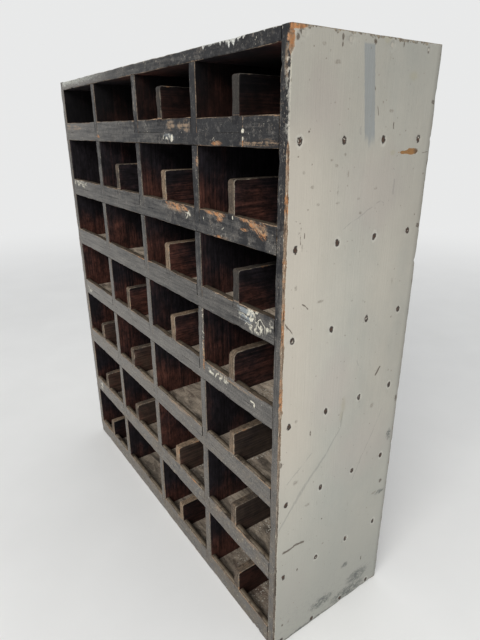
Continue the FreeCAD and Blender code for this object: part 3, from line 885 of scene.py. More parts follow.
class FrontPaint:
    """Old charcoal paint with everything that happened to it, for the front edges of some boards."""

    def __init__(self, finish, colours, along, nodes, darker=0.0, upper_left=0.44):
        self.finish, self.colours = finish, colours
        self.streaks = finish.noise(grain_stretch(along, 210, 13), detail=5, roughness=0.65, shift=31)
        self.clouds = finish.noise(27, detail=6, roughness=0.7, shift=37)
        self.fine = finish.noise(430, detail=4, roughness=0.7, shift=41)
        self.fray = finish.noise(170, detail=5, roughness=0.7, shift=61)
        self.wood = bare_wood(finish, colours, along)
        self.colour = self.paint(darker, upper_left)
        self.marks(nodes)

    def paint(self, darker, upper_left):
        """Near black at the upper right and chalky grey towards the lower left: partly dust lower down, partly
        painted sheen and light, with painted shade at the upper right.
        """
        finish, colours = self.finish, self.colours
        step, times, noise, tint, spread, by_height, over, mix, specks = (
            finish.step, finish.times, finish.noise, finish.tint, finish.spread, finish.by_height,
            finish.over, finish.mix, finish.specks)
        # The tone: lighter lower down and towards the left, partly dust and partly painted sheen, and lighter
        # at the upper left as painted light; darkest, partly painted shade, at the upper right.
        lower = by_height(1.08, 0.38, -0.08, 0.60)
        left = spread(finish.x, 0.42, -0.48, 0.0, 0.40)
        upper_left = times(spread(finish.x, 0.15, -0.45, 0.0, upper_left), by_height(0.85, 1.08))
        tone = finish.add(lower, left, upper_left, -darker)
        dark_and_shaded = step(tone, 0.50, 0.12)
        uneven = times(spread(self.clouds, 0.25, 0.75, -0.36, 0.30), spread(dark_and_shaded, 0, 1, 0.6, 1.0))
        streaky = times(spread(self.streaks, 0.25, 0.75, -0.30, 0.30),
                        spread(finish.z, 0.25, 0.60, 0.5, 1.0))
        paint = mix(finish.add(tone, uneven, streaky), colours.charcoal, colours.chalky)
        paint = tint(paint, self.fine, 0.45, 1.55, 0.3, 0.7)
        low_down = times(by_height(0.55, 0.05), step(self.clouds, 0.40, 0.62))
        paint = mix(times(low_down, 0.55), paint, tint(LOW_BROWN, self.fray, 0.6, 1.4))
        worn = by_height(0.60, 0.20)
        blots = noise((110, 110, 150), detail=5, roughness=0.75, shift=49)
        olive = tint(LOW_OLIVE, self.fray, 0.5, 1.5)
        paint = over(paint, olive, step(blots, 0.54, 0.66), worn, 0.60)
        paint = over(paint, LOW_DARK, step(blots, 0.46, 0.34), worn, 0.55)
        some = step(self.clouds, 0.46, 0.60)
        squiggles = noise((150, 150, 105), detail=4, roughness=0.7, distortion=2.2, shift=43)
        rain = noise((230, 230, 52), detail=4, roughness=0.7, distortion=0.5, shift=44)
        dashes = finish.most(step(squiggles, 0.60, 0.635), times(step(rain, 0.61, 0.65), 0.6))
        pale = mix(step(self.fray, 0.50, 0.64), DULL_FLECK, colours.cream)
        amount = spread(dark_and_shaded, 0, 1, 0.15, 0.85)
        paint = over(paint, pale, dashes, some, amount)
        rough = step(noise(120, detail=5, roughness=0.8, shift=45), 0.54, 0.64)
        paint = over(paint, colours.chalky, rough, dark_and_shaded, 0.30)
        tar = step(noise(48, detail=4, roughness=0.6, shift=47), 0.53, 0.59)
        paint = over(paint, TAR, tar, dark_and_shaded, 0.8)
        flecks = finish.most(specks(260, 0.025, 0.30), specks(95, 0.015, 0.12, (1, 1, 0.6)),
                             times(specks(190, 0.12, 0.30), worn))
        return over(paint, colours.cream, flecks, spread(self.fray, 0.3, 0.7, 0.1, 0.7))

    def marks(self, nodes):
        """Smears, scribbles, tan rubs and bare chips at the places where they are."""
        finish, colours = self.finish, self.colours
        step, times, mix, patches = finish.step, finish.times, finish.mix, finish.patches
        brushed = finish.noise((110, 60, 22), detail=5, roughness=0.7, shift=63, lean=math.radians(63))
        smear = patches(touching(FRONT_SMEARS, nodes), self.fray, ragged=1.0, soft=0.4)
        smear = times(smear, step(self.streaks, 0.38, 0.6), 0.5)
        self.colour = mix(smear, self.colour, BLUISH_SMEAR)
        tan = patches(touching(FRONT_TAN, nodes), self.fray, ragged=1.3, soft=0.3)
        tan = times(tan, step(finish.add(self.fray, self.streaks), 0.92, 1.14), 0.8)
        self.colour = mix(tan, self.colour, colours.rubbed)
        dabs = patches(touching(FRONT_DABS, nodes), self.fray, ragged=1.1, soft=0.25)
        self.colour = finish.over(self.colour, colours.cream, dabs, step(self.fine, 0.34, 0.46))
        area = patches(touching(FRONT_SCRIBBLES, nodes), self.fray, ragged=0.9, soft=0.3)
        scribble = finish.veins((64, 64, 44), 0.055, shift=67, lean=math.radians(20), detail=1)
        scribble = times(area, scribble, step(self.fine, 0.36, 0.48))
        self.colour = mix(scribble, self.colour, colours.cream)
        chipped = patches(touching(FRONT_BARE, nodes), brushed, ragged=1.8, soft=0.35)
        scraped = finish.noise((230, 120, 42), detail=5, roughness=0.7, distortion=0.8, shift=65,
                               lean=math.radians(63))
        self.chipped = times(chipped, step(finish.add(scraped, times(self.fine, 0.4)), 0.62, 0.74))
        self.colour = mix(self.chipped, self.colour, self.wood)
        self.gap_here = patches(touching(FRONT_GAPS, nodes), self.fray, ragged=0.4)

    def rub(self, arris, reach, strength=1.0):
        """Rub an arris to the wood in a ragged line that comes and goes."""
        finish = self.finish
        step, times = finish.step, finish.times
        patchy = finish.noise(15, detail=4, roughness=0.6, shift=53)
        wide = times(step(patchy, 0.36, 0.66), reach, finish.by_height(0.60, 0.25, 1.0, 1.5))
        wide = times(wide, finish.spread(self.fray, 0.3, 0.7, 0.3, 1.5))
        mask = step(finish.less(arris, wide), 0.3 * MM, -0.3 * MM)
        mask = times(mask, step(self.fine, 0.36, 0.48, 0.2, 1.0))
        tan = finish.mix(step(patchy, 0.60, 0.68), self.colours.rubbed, self.wood)
        tan = finish.tint(tan, self.fine, 0.6, 1.4)
        self.colour = finish.over(self.colour, tan, mask, strength)
        self.bare = finish.most(mask, self.chipped)

    def lay(self):
        """Put the paint on the front edges; it wraps a little round the arrises."""
        finish = self.finish
        times = finish.times
        deep = finish.frayed(finish.depth, self.fray, 0.8 * MM)
        here = finish.step(deep, 2.0 * MM, 1.3 * MM)
        finish.coat(here, self.colour, roughness=finish.spread(self.clouds, 0.3, 0.7, 0.42, 0.62))
        lumps = finish.add(times(self.fine, 0.35), times(self.streaks, 0.25))
        finish.height = finish.add(finish.height, times(here, lumps), times(self.bare, -0.35))


def start_stained(name, colours, along, roughness=0.6, above=False):
    """A finish that is dark stained wood so far; some pieces know how far above a floor each point is."""
    finish = Finish(name)
    height = finish.field("above") if above else None
    finish.colour, finish.grain, finish.fibre = stained_wood(finish, colours, along, height)
    finish.roughness = roughness
    finish.height = finish.add(finish.times(finish.grain, 0.35), finish.times(finish.fibre, 0.12))
    return finish


def paint_front(finish, colours, along, nodes, reach, strength, **tones):
    """Charcoal paint on the front edge, rubbed off its arrises."""
    front = FrontPaint(finish, colours, along, nodes, **tones)
    front.rub(finish.field("arris"), reach, strength)
    front.lay()
    return front


def grey_paint(finish, colours, fine, fray):
    """Pale grey brushed paint with smudges, scuffs, nicks and scratches."""
    step, times, noise, tint, spread, by_height, over, add, most, specks, patches = (
        finish.step, finish.times, finish.noise, finish.tint, finish.spread, finish.by_height,
        finish.over, finish.add, finish.most, finish.specks, finish.patches)
    streaks = noise((40, 150, 7), detail=5, roughness=0.6, shift=73)
    broad = noise((5, 5, 4), detail=5, roughness=0.6, shift=79)
    cool = noise((7, 7, 4), detail=5, roughness=0.6, shift=81)
    blotchy = noise((26, 26, 15), detail=6, roughness=0.7, shift=75)
    away = finish.by_depth(0.02, 0.15, 0.25, 1.0)
    grey = over(colours.grey, colours.cool_grey, spread(cool, 0.35, 0.75), away)
    grey = tint(grey, streaks, 0.985, 1.015)
    grey = tint(grey, broad, 0.94, 1.06)
    grey = tint(grey, blotchy, 0.965, 1.035, 0.3, 0.7)
    grey = tint(grey, fine, 0.965, 1.035)
    pink = patches(on_side(SIDE_PINK), blotchy, ragged=0.9, soft=0.7)
    grey = over(grey, PINK_GREY, pink, 0.38)
    # Painted shade: the grey darkens towards the top of the side.
    grey = tint(grey, finish.z, 1.0, 0.80, 0.74, 1.05)
    # Painted light and shade: below the top, the grey is lighter at the front and darker towards the back, most
    # strongly near 0.85 m.
    upper_light_slope = times(by_height(1.05, 0.86), spread(finish.z, 0.35, 0.85, 0.6, 1.0))
    grey = finish.mix(upper_light_slope, grey, tint(grey, finish.depth, 1.15, 0.83, 0.03, 0.30))
    # Painted highlight: a warm lighter grey over the front 11 cm of the side, between about 0.3 m and 1 m high.
    lit = times(finish.by_depth(0.11, 0.01), by_height(1.02, 0.94), by_height(0.32, 0.50))
    grey = over(grey, PAINTED_HIGHLIGHT_GREY, lit, 0.35)
    low_down = by_height(0.50, 0.02)
    grey = over(grey, colours.cool_grey, low_down, 0.75)
    grey = tint(grey, finish.z, 0.87, 1.0, 0.05, 0.42)
    # Painted shade: the grey darkens along the rear edge of the side.
    grey = tint(grey, finish.depth, 1.0, 0.72, 0.293, 0.303)
    olive = patches(on_side(SIDE_OLIVE), fray, ragged=0.7, soft=0.6)
    grey = over(grey, OLIVE_GREY, olive, 0.35)
    aside = finish.math("ABSOLUTE", finish.less(add(finish.depth, times(finish.z, 0.131)), 0.2835))
    band = step(finish.frayed(aside, fray, 1.5 * MM), 11.8 * MM, 10.2 * MM)
    band_end = add(finish.z, spread(add(streaks, blotchy), 0.7, 1.3, -0.012, 0.012))
    band = times(band, step(band_end, 0.952, 0.975), by_height(1.090, 1.086), step(finish.x, 0.0, 0.1))
    tongues = noise((40, 420, 9), detail=4, roughness=0.6, shift=77)
    blue = tint(tint(BLUE_GREY, tongues, 0.90, 1.10, 0.3, 0.7), blotchy, 0.92, 1.08)
    grey = over(grey, blue, band, spread(tongues, 0.3, 0.7, 0.72, 0.98))
    scuffed = noise((90, 95, 170), detail=6, roughness=0.82, distortion=0.6, shift=85)
    scuff = patches(on_side(SIDE_SCUFFS), fray, ragged=1.2, soft=0.5)
    foot = by_height(4 * MM, 1 * MM)
    scuff = times(most(scuff, foot), step(scuffed, 0.40, 0.54))
    grey = over(grey, SCUFF, scuff, 0.9)
    mottle = times(by_height(0.16, 0.02), step(scuffed, 0.50, 0.66))
    grey = over(grey, FOOT_GREY, mottle, 0.4)
    dashes = most(specks(27, 0.20, 0.065, (1, 1, 0.30)), specks(44, 0.12, 0.09, (1, 0.7, 0.5)))
    grey = over(grey, BROWN_DASH, dashes, spread(fray, 0.40, 0.62, 0.0, 0.5))
    dots = most(specks(58, 0.09, 0.12), specks(150, 0.04, 0.2), specks(21, 0.06, 0.08, (1, 1, 0.6)))
    grey = over(grey, BROWN_DOT, dots, spread(fray, 0.40, 0.60, 0.0, 0.8))
    pale = most(specks(40, 0.05, 0.12), specks(22, 0.06, 0.07, (1, 0.4, 1)))
    grey = over(grey, PALE_DOT, pale, spread(fray, 0.4, 0.6, 0.0, 0.3))
    faint = strokes(finish, SIDE_FAINT, fray)
    grey = over(grey, FAINT_GREY, faint, spread(fray, 0.35, 0.6, 0.14, 0.42))
    smudges = patches(on_side(SIDE_SMUDGES), fray, ragged=1.5, soft=0.5)
    left = most(patches(on_side(LEFT_SMUDGES, LEFT_OUT), fray, ragged=1.5, soft=0.5),
                strokes(finish, LEFT_SCRATCHES, fray, LEFT_OUT))
    smudges = times(most(smudges, left), step(fine, 0.36, 0.60, 0.15, 0.62))
    grey = finish.mix(smudges, grey, SMUDGE)
    hollows = times(patches(on_side(SIDE_SPOTS), fray, ragged=1.3, soft=0.3), step(fine, 0.34, 0.46))
    cut = most(times(strokes(finish, SIDE_SCRATCHES, fray), step(fine, 0.22, 0.38)), hollows)
    grey = over(grey, SCRATCH, cut, spread(fray, 0.30, 0.55, 0.55, 0.92))
    brushed = add(times(blotchy, 0.10), times(fine, 0.06))
    relief = add(brushed, times(most(cut, dots), -0.25), times(pale, 0.08))
    return grey, relief


def round_nails(finish, grey, fray):
    """The paint round each nail: pale where it cracked, dark where rust came through."""
    step = finish.step
    nail = from_nails(finish, from_lines(finish, finish.depth, NAIL_FIRST, NAIL_APART), NAIL_HEIGHTS)
    cracked = step(finish.noise(9, detail=1, shift=89), 0.44, 0.56)
    shown = finish.by_height(1.08, 1.07, 0.12, 1.0)
    ring = step(finish.frayed(nail, fray, 2.6 * MM), 8.4 * MM, 6.0 * MM)
    grey = finish.over(grey, CRACKED_PAINT, ring, cracked, shown, 0.40)
    rim = step(finish.frayed(nail, fray, 2.6 * MM), 5.0 * MM, 3.8 * MM)
    return finish.over(grey, NAIL_RIM, rim, shown)


def bare_strip(finish, colours, wear, wood, fine, fray):
    """The rubbed front arris: how far the paint is off it, its pale rim, and the wood that shows."""
    step, times, noise, tint, spread, by_height, mix, most, less = (
        finish.step, finish.times, finish.noise, finish.tint, finish.spread, finish.by_height,
        finish.mix, finish.most, finish.less)
    strip = finish.field("strip")
    wander = noise((1, 1, 24), detail=5, roughness=0.7, shift=83)
    knock = most(*[finish.near(finish.z, middle, reach) for middle, reach in STRIP_KNOCKS],
                 times(by_height(0.17, 0.10), 0.6))
    wide = finish.add(spread(wander, 0.34, 0.66, wear.strip * 0.65, wear.strip * 1.2),
                      times(knock, 1.6 * MM))
    wide = times(wide, most(by_height(0.968, 0.952), by_height(1.062, 1.072)),
                 spread(finish.z, 0.30, 0.48, 0.75, 1.0))
    frayed = times(wide, spread(fray, 0.25, 0.75, 0.6, 1.35))
    off = step(less(strip, frayed), 0.3 * MM, -0.3 * MM)
    rim = times(step(less(strip, frayed), 1.6 * MM, 0.4 * MM), spread(finish.z, 0.25, 0.50, 0.9, 0.5))
    chalk = times(step(strip, 2.6 * MM, 1.6 * MM), by_height(0.955, 0.975))
    fresh = noise((1, 1, 26), detail=3, shift=87)
    orange = times(step(fresh, 0.46, 0.60), by_height(0.45, 0.60))
    aged = mix(by_height(0.50, 0.38), STRIP_TAN, STRIP_GREY)
    tan = mix(orange, tint(aged, fresh, 0.7, 1.15), wood)
    lines = noise((480, 480, 60), detail=4, roughness=0.7, shift=86)
    tan = mix(step(lines, 0.48, 0.38), tan, STRIP_DIRT)
    tan = finish.over(tan, colours.cream, step(lines, 0.57, 0.65), 0.75)
    tan = tint(tan, finish.z, 0.75, 1.0, 0.24, 0.34)
    tan = tint(tan, step(finish.math("ABSOLUTE", less(finish.z, 0.178)), 0.05, 0.02), 1.0, 0.7, 0, 1)
    return off, most(rim, chalk), tint(tan, fine, 0.6, 1.4, 0.3, 0.7)


def weathered_top(finish, colours, front):
    """Old grey paint that faces up: flaked to the charcoal under it and worn to the wood along the grain."""
    noise, tint = finish.noise, finish.tint
    blots = noise(14, detail=6, roughness=0.7, shift=103)
    aged = finish.mix(finish.step(blots, 0.36, 0.48), OLD_CHARCOAL, colours.cool_grey)
    aged = tint(aged, noise((6, 18, 6), detail=5, roughness=0.6, shift=102), 0.75, 1.2, 0.3, 0.7)
    worn = noise((7, 90, 30), detail=5, roughness=0.7, shift=105)
    aged = finish.mix(finish.step(worn, 0.58, 0.66), aged, tint(front.wood, blots, 0.3, 0.8))
    return tint(aged, front.fine, 0.75, 1.25)


def side_finish(colours, wear):
    """Side boards: pale grey outside, charcoal in front, dark stain inside."""
    finish = start_stained("side paint", colours, 2, roughness=0.55, above=True)
    step, times, noise, tint, by_height, by_depth, over, mix, coat, patches = (
        finish.step, finish.times, finish.noise, finish.tint, finish.by_height, finish.by_depth,
        finish.over, finish.mix, finish.coat, finish.patches)
    front = FrontPaint(finish, colours, 2, ["right_side_board"], darker=0.04)
    flaking = patches(in_frame(SIDE_FLAKES), front.fray, ragged=0.9, soft=0.5)
    flaked = times(flaking, step(front.fray, 0.51, 0.56))
    front.colour = over(front.colour, FLAKE, flaked, 0.85)
    front.rub(finish.field("arris"), 1.3 * MM)
    fray = noise(150, detail=6, roughness=0.75, shift=71)
    off, rim, tan = bare_strip(finish, colours, wear, front.wood, front.fine, fray)
    grey, relief = grey_paint(finish, colours, front.fine, fray)
    grey = round_nails(finish, grey, fray)
    knocked = patches(on_side(SIDE_BARE), fray, ragged=0.9)
    knocked_rim = patches(on_side(SIDE_BARE), fray, ragged=0.9, soft=0.35)
    outline = times(finish.most(rim, knocked_rim), step(front.fine, 0.36, 0.56))
    outside = mix(outline, grey, colours.cream)
    ochre = mix(by_depth(0.18, 0.22), front.wood, OCHRE)
    ochre = over(ochre, OCHRE_END, by_depth(0.262, 0.270), 0.8)
    dark_wood = over(ochre, BRUISE, step(fray, 0.52, 0.66), 0.8)
    outside = mix(knocked, outside, dark_wood)
    chips = finish.spread(noise(60, detail=3, shift=90), 0.45, 0.75, 0.8 * MM, 7 * MM)
    chips = times(chips, by_height(1.085, 1.090, 0.7, 1.3))
    rubbed = step(finish.less(finish.field("edges"), chips), 0.3 * MM, -0.3 * MM)
    rubbed = times(rubbed, step(fray, 0.40, 0.55))
    edge_brown = mix(step(front.fine, 0.46, 0.56), EDGE_DARK, EDGE_TAN)
    outside = over(outside, edge_brown, rubbed, 0.85)
    scarred = noise((300, 300, 110), detail=5, roughness=0.75, shift=107)
    scarred = times(step(scarred, 0.60, 0.64), by_height(0.90, 0.98))
    scar = mix(step(front.fray, 0.46, 0.54), colours.rubbed, colours.cream)
    front.colour = over(front.colour, scar, scarred, 0.65)
    front.lay()
    out = finish.math("ABSOLUTE", finish.x)
    outer = step(out, HIGH.x - 2.4 * MM, HIGH.x - 1.4 * MM)
    outer = finish.without(outer, by_depth(1.1 * MM, 0.5 * MM))
    coat(outer, outside, roughness=finish.spread(fray, 0.3, 0.7, 0.36, 0.50))
    whole = finish.without(outer, finish.most(knocked, rubbed))
    finish.height = finish.add(finish.height, times(outer, relief), times(whole, 0.4))
    white = times(step(finish.field("strip"), 2.0 * MM, 1.0 * MM), by_height(0.955, 0.975),
                  by_height(1.050, 1.030), step(fray, 0.40, 0.52))
    coat(times(white, 0.8), CHALK)
    facing = finish.normal()
    behind = times(step(facing[1], 0.80, 0.95), by_depth(0.302, 0.304))
    raw = tint(tint(RAW_END, finish.grain, 0.6, 1.4), finish.fibre, 0.7, 1.3)
    dirty_grey = tint(colours.cool_grey, fray, 0.5, 1.1)
    coat(behind, mix(step(front.clouds, 0.46, 0.56), raw, dirty_grey), roughness=0.8)
    upper = times(step(facing[2], 0.80, 0.95), by_height(HIGH.z - 1.5 * MM, HIGH.z - 0.5 * MM))
    coat(upper, weathered_top(finish, colours, front), roughness=0.7)
    corner = times(off, by_height(1.066, 1.074))
    coat(off, mix(corner, tan, dark_wood), roughness=0.75, height=-0.4)
    return finish.finished()


def lay_dust(finish, colours, front, amount):
    """Dust and grit on what faces up."""
    step, times, tint, coat, specks = finish.step, finish.times, finish.tint, finish.coat, finish.specks
    up = times(step(finish.normal()[2], 0.55, 0.85), amount)
    sweep = finish.noise((13, 46, 30), detail=6, roughness=0.72, distortion=0.9, shift=91)
    blots = finish.noise(36, detail=5, roughness=0.7, shift=93)
    cover = step(finish.add(sweep, times(front.fine, 0.3)), 0.46, 0.74, 0.40, 1.0)
    dust = tint(colours.dust, sweep, 0.65, 1.4, 0.3, 0.7)
    dust = tint(dust, blots, 0.66, 1.38, 0.3, 0.7)
    dust = tint(dust, finish.z, 0.80, 1.22, 0.05, 0.55)
    coat(times(up, cover), dust, roughness=0.9, height=0.15)
    grit = finish.most(specks(170, 0.12, 0.36), specks(320, 0.10, 0.4))
    coat(times(up, grit, step(sweep, 0.44, 0.56), 0.75), GRIT, height=0.5)
    flakes = finish.patches(in_frame(CRUMBS), front.fray, ragged=0.8, soft=0.4)
    flakes = times(flakes, finish.most(specks(200, 0.45, 0.42), specks(330, 0.3, 0.4)))
    coat(times(up, flakes), CRUMB, height=0.9)
    dark = specks(210, 0.09, 0.34)
    coat(times(up, dark, 0.65), DARK_GRIT, height=0.3)


def shelf_finish(colours):
    """Shelves: charcoal front, dusty on top and dark underneath."""
    finish = start_stained("shelf stain and dust", colours, 0)
    front = paint_front(finish, colours, 0, SHELVES, 1.2 * MM, 0.6)
    lay_dust(finish, colours, front, 0.95)
    return finish.finished()


def upright_finish(colours):
    """Uprights: charcoal front and dark stained faces."""
    finish = start_stained("upright stain", colours, 2, above=True)
    paint_front(finish, colours, 2, UPRIGHTS, 1.2 * MM, 0.55, darker=0.06, upper_left=0.20)
    return finish.finished()


def top_finish(colours):
    """Top board and base: charcoal front with white paint run down from above."""
    finish = start_stained("top paint", colours, 0)
    step, times, by_height, coat = finish.step, finish.times, finish.by_height, finish.coat
    front = paint_front(finish, colours, 0, ["top_board", "base_board"], 1.4 * MM, 0.7)
    lay_dust(finish, colours, front, by_height(0.30, 0.20, 0.0, 0.9))
    down = finish.less(HIGH.z, finish.z)
    runs = finish.noise((85, 2, 2), detail=4, roughness=0.6, shift=101)
    windows = finish.patches(in_frame(PAINT_RUNS), runs, ragged=0.2)
    long_runs = times(windows, step(runs, 0.42, 0.70, 1.5 * MM, 14 * MM))
    short_runs = step(runs, 0.45, 0.8, 0.2 * MM, 3.5 * MM)
    wet = finish.less(finish.most(long_runs, short_runs), down)
    wet = step(finish.frayed(wet, front.fray, 2 * MM), -0.3 * MM, 0.5 * MM)
    here = times(wet, step(front.fine, 0.34, 0.5), by_height(1.0, 1.05))
    coat(times(here, 0.85), WHITE_RUN, roughness=0.6, height=0.3)
    spatter = finish.most(finish.specks(120, 0.30, 0.32), finish.specks(240, 0.22, 0.38))
    chalked = finish.add(finish.z, finish.spread(front.fray, 0.25, 0.75, -9 * MM, 9 * MM))
    chalked = times(step(chalked, 1.088, 1.093), step(front.fine, 0.40, 0.54))
    chalked = times(chalked, step(finish.x, -0.08, -0.36))
    coat(times(chalked, 0.8), CHALKED)
    at_left = times(step(finish.x, -0.16, -0.46), by_height(1.07, 1.10))
    coat(times(spatter, at_left, 0.7), colours.cream)
    above = times(step(finish.normal()[2], 0.6, 0.9), by_height(1.0, 1.05))
    aged = weathered_top(finish, colours, front)
    coat(above, aged, roughness=0.7)
    coat(times(above, spatter, step(front.clouds, 0.4, 0.6)), colours.cream, height=0.2)
    return finish.finished()


def lip_finish(colours):
    """Lips: charcoal front, dirty brown top, open joints at the ends and underneath."""
    finish = start_stained("lip paint", colours, 0)
    step, times, tint = finish.step, finish.times, finish.tint
    front = paint_front(finish, colours, 0, LIPS, 1.9 * MM, 0.9)
    up = step(finish.normal()[2], 0.5, 0.9)
    grime = tint(tint(colours.grime, front.clouds, 0.5, 1.7, 0.35, 0.7), front.fine, 0.6, 1.4)
    grime = tint(grime, finish.depth, 1.0, 0.35, 8 * MM, 11 * MM)
    worn = times(step(front.clouds, 0.40, 0.52), finish.by_height(0.60, 0.40),
                 step(finish.add(finish.depth, times(front.fray, 4 * MM)), 10 * MM, 6 * MM))
    grime = finish.mix(times(worn, 0.9), grime, tint(LIP_TAN, front.fray, 0.5, 1.5))
    behind = step(finish.frayed(finish.depth, front.fray, 1 * MM), 1.6 * MM, 2.8 * MM)
    finish.coat(times(up, behind), grime, roughness=0.8)
    joint = step(finish.field("joint"), 0.9 * MM, 0.4 * MM)
    open_here = finish.most(front.gap_here,
                            step(finish.noise((14, 14, 30), detail=2, shift=107), 0.52, 0.58))
    finish.coat(times(joint, open_here), OPEN_JOINT, roughness=0.9, height=-0.6)
    return finish.finished()


def partition_finish(colours):
    """Low partitions: dark faces, and front and top edges handled down to grey-tan wood, with painted shade on
    those edges towards the back and in the higher rows.
    """
    finish = start_stained("partition stain", colours, 1, above=True)
    step, times, noise, tint, spread, add, mix = (
        finish.step, finish.times, finish.noise, finish.tint, finish.spread, finish.add, finish.mix)
    above = finish.field("above")
    front = FrontPaint(finish, colours, 0, LIPS)
    front.rub(finish.math("ABSOLUTE", finish.less(above, LIP_HIGH)), 1.2 * MM, 0.7)
    clouds = noise(38, detail=5, roughness=0.65, shift=109)
    middle = times(finish.by_height(0.50, 0.40), finish.by_height(0.15, 0.19))
    scraped = times(middle, spread(add(clouds, times(finish.grain, 0.3)), 0.45, 0.90, 0.25, 0.85))
    brown = tint(tint(SCRAPED, finish.fibre, 0.7, 1.3), finish.grain, 0.6, 1.4, 0.32, 0.68)
    finish.colour = mix(scraped, finish.colour, brown)
    finish.colour = tint(finish.colour, finish.z, 0.45, 1.0, 0.12, 0.19)
    pale = add(finish.field("pale"), spread(clouds, 0.25, 0.75, -0.35, 0.35))
    tan = mix(pale, colours.handled, colours.rubbed)
    streak = noise((420, 110, 55), detail=4, roughness=0.65, shift=127)
    tan = tint(tint(tan, streak, 0.4, 1.6), front.fine, 0.45, 1.55)
    dark = step(noise((210, 120, 210), detail=4, roughness=0.7, shift=129), 0.55, 0.62)
    tan = finish.over(tan, DARK_GRIT, dark, 0.6)
    # Painted shade: the handled edges darken in the higher rows.
    tan = tint(tan, finish.z, 0.90, 0.60, 0.15, 1.0)
    # Painted shade: the handled edges and bright arrises darken towards the back.
    shade_towards_back = spread(finish.frayed(finish.depth, clouds, 0.03), 0.05, 0.24, 1.0, 0.35)
    foot = finish.frayed(above, front.fray, 1.5 * MM)
    tan = mix(step(foot, LIP_HIGH + 2.5 * MM, LIP_HIGH + 1 * MM), tan, front.colour)
    handled = step(add(finish.field("handled"), spread(front.fray, 0.2, 0.8, -0.5 * MM, 0.5 * MM)),
                   1.3 * MM, 0.5 * MM)
    finish.coat(times(handled, shade_towards_back), tan, roughness=0.75, height=0.1)
    reach = times(spread(front.fray, 0.3, 0.7, 0.2, 1.4), step(clouds, 0.38, 0.62), 2.0 * MM)
    arris = step(finish.less(finish.field("arris"), reach), 0.3 * MM, -0.3 * MM)
    arris = times(arris, shade_towards_back, step(foot, LIP_HIGH, LIP_HIGH + 2 * MM), spread(pale, -0.1, 0.4, 0.1, 0.75))
    bright = mix(step(clouds, 0.54, 0.64), BRIGHT_ARRIS, front.wood)
    finish.coat(arris, bright, roughness=0.75)
    finish.height = add(finish.height, times(streak, 0.25))
    return finish.finished()


def mottled(finish):
    """A noise with lumps of a few millimetres, to fray the rims of marks on the back."""
    return finish.noise((160, 160, 90), detail=5, roughness=0.75, shift=136)


def back_finish(colours):
    """Back boards: dark inside, dry weathered wood outside."""
    finish = start_stained("back stain", colours, 2, roughness=0.65)
    step, times, noise, tint, spread, add, coat = (
        finish.step, finish.times, finish.noise, finish.tint, finish.spread, finish.add, finish.coat)
    outside = step(finish.y, HIGH.y - 11 * MM, HIGH.y - 10 * MM)
    broad = noise((7, 7, 3), detail=5, roughness=0.6, shift=131)
    board = noise((8.5, 1, 0.4), detail=0, shift=133)
    dry = finish.mix(spread(add(broad, board), 0.75, 1.25), DRY_DARK, DRY_PALE)
    dry = tint(dry, finish.grain, 0.5, 1.45, 0.32, 0.68)
    dry = tint(dry, finish.fibre, 0.75, 1.25)
    from_edge = finish.less(finish.x, BACK_EDGE)
    board_number = finish.math("FLOOR", finish.math("DIVIDE", from_edge, BACK_PITCH))
    own = finish.math("FRACT", times(board_number, 0.618))
    dry = tint(dry, own, 0.70, 1.25, 0, 1)
    dry = tint(dry, noise((40, 40, 9), detail=5, roughness=0.7, shift=132), 0.72, 1.28, 0.3, 0.7)
    cracks = finish.veins((46, 46, 1.6), 0.012, shift=134, detail=3)
    dry = finish.over(dry, CRACK, cracks, step(broad, 0.46, 0.56), 0.7)
    coat(outside, dry, roughness=0.85)
    seam = from_lines(finish, from_edge, 0.0, BACK_PITCH)
    dirt = times(step(add(seam, times(mottled(finish), 8 * MM)), 16 * MM, 3 * MM), 0.45)
    coat(times(outside, finish.most(dirt, step(seam, 3.2 * MM, 1.6 * MM))), SEAM_DIRT)
    knots_far, chance = finish.cells(3.4, (1.6, 1, 0.7))
    knot = times(step(add(knots_far, spread(broad, 0, 1, -0.01, 0.01)), 0.055, 0.03),
                 step(chance, 0.5, 0.52))
    coat(times(outside, knot, 0.8), KNOT)
    stains = noise((5, 5, 1.6), detail=5, roughness=0.65, shift=135)
    coat(times(outside, step(stains, 0.54, 0.66), 0.4), WATER_STAIN)
    across = from_lines(finish, from_edge, BACK_PITCH / 2, BACK_PITCH)
    nail = add(from_nails(finish, across, BACK_NAIL_HEIGHTS), times(mottled(finish), 4 * MM))
    rusty = step(nail, 9 * MM, 4.5 * MM)
    for height in BACK_NAIL_HEIGHTS:
        under = finish.less(height * MM, finish.z)
        run = times(step(under, 0.0, 1 * MM), spread(under, 0.0, 0.055, 0.7, 0.0))
        run = times(run, step(add(across, times(mottled(finish), 2 * MM)), 4.2 * MM, 1.6 * MM))
        rusty = finish.most(rusty, run)
    coat(times(outside, rusty, 0.85), RUST_RUN, roughness=0.8)
    damp = step(finish.frayed(finish.z, broad, 0.10), 0.16, 0.0)
    coat(times(outside, damp, 0.6), DAMP)
    return finish.finished()


def nail_finish(colours):
    """Cut nails, some rusted bare and some under paint."""
    finish = Finish("rusted nail", specular=0.4)
    step = finish.step
    lumps = finish.noise(600, detail=4, roughness=0.7, shift=137)
    chance = finish.cells(13)[1]
    rusty = finish.mix(step(lumps, 0.42, 0.60), colours.rust, FRESH_RUST)
    blots = finish.noise(210, detail=3, roughness=0.6, shift=139)
    covered = step(finish.add(blots, finish.times(chance, 0.22), finish.by_height(1.08, 1.085)), 0.70, 0.78)
    side = step(finish.math("ABSOLUTE", finish.x), HIGH.x - 5 * MM, HIGH.x - 4 * MM)
    finish.colour = finish.over(rusty, colours.grey, covered, side, 0.85)
    finish.roughness = 0.75
    finish.height = finish.times(lumps, 0.6)
    return finish.finished(distance=0.5 * MM)


# ---------------------------------------------------------------- pieces

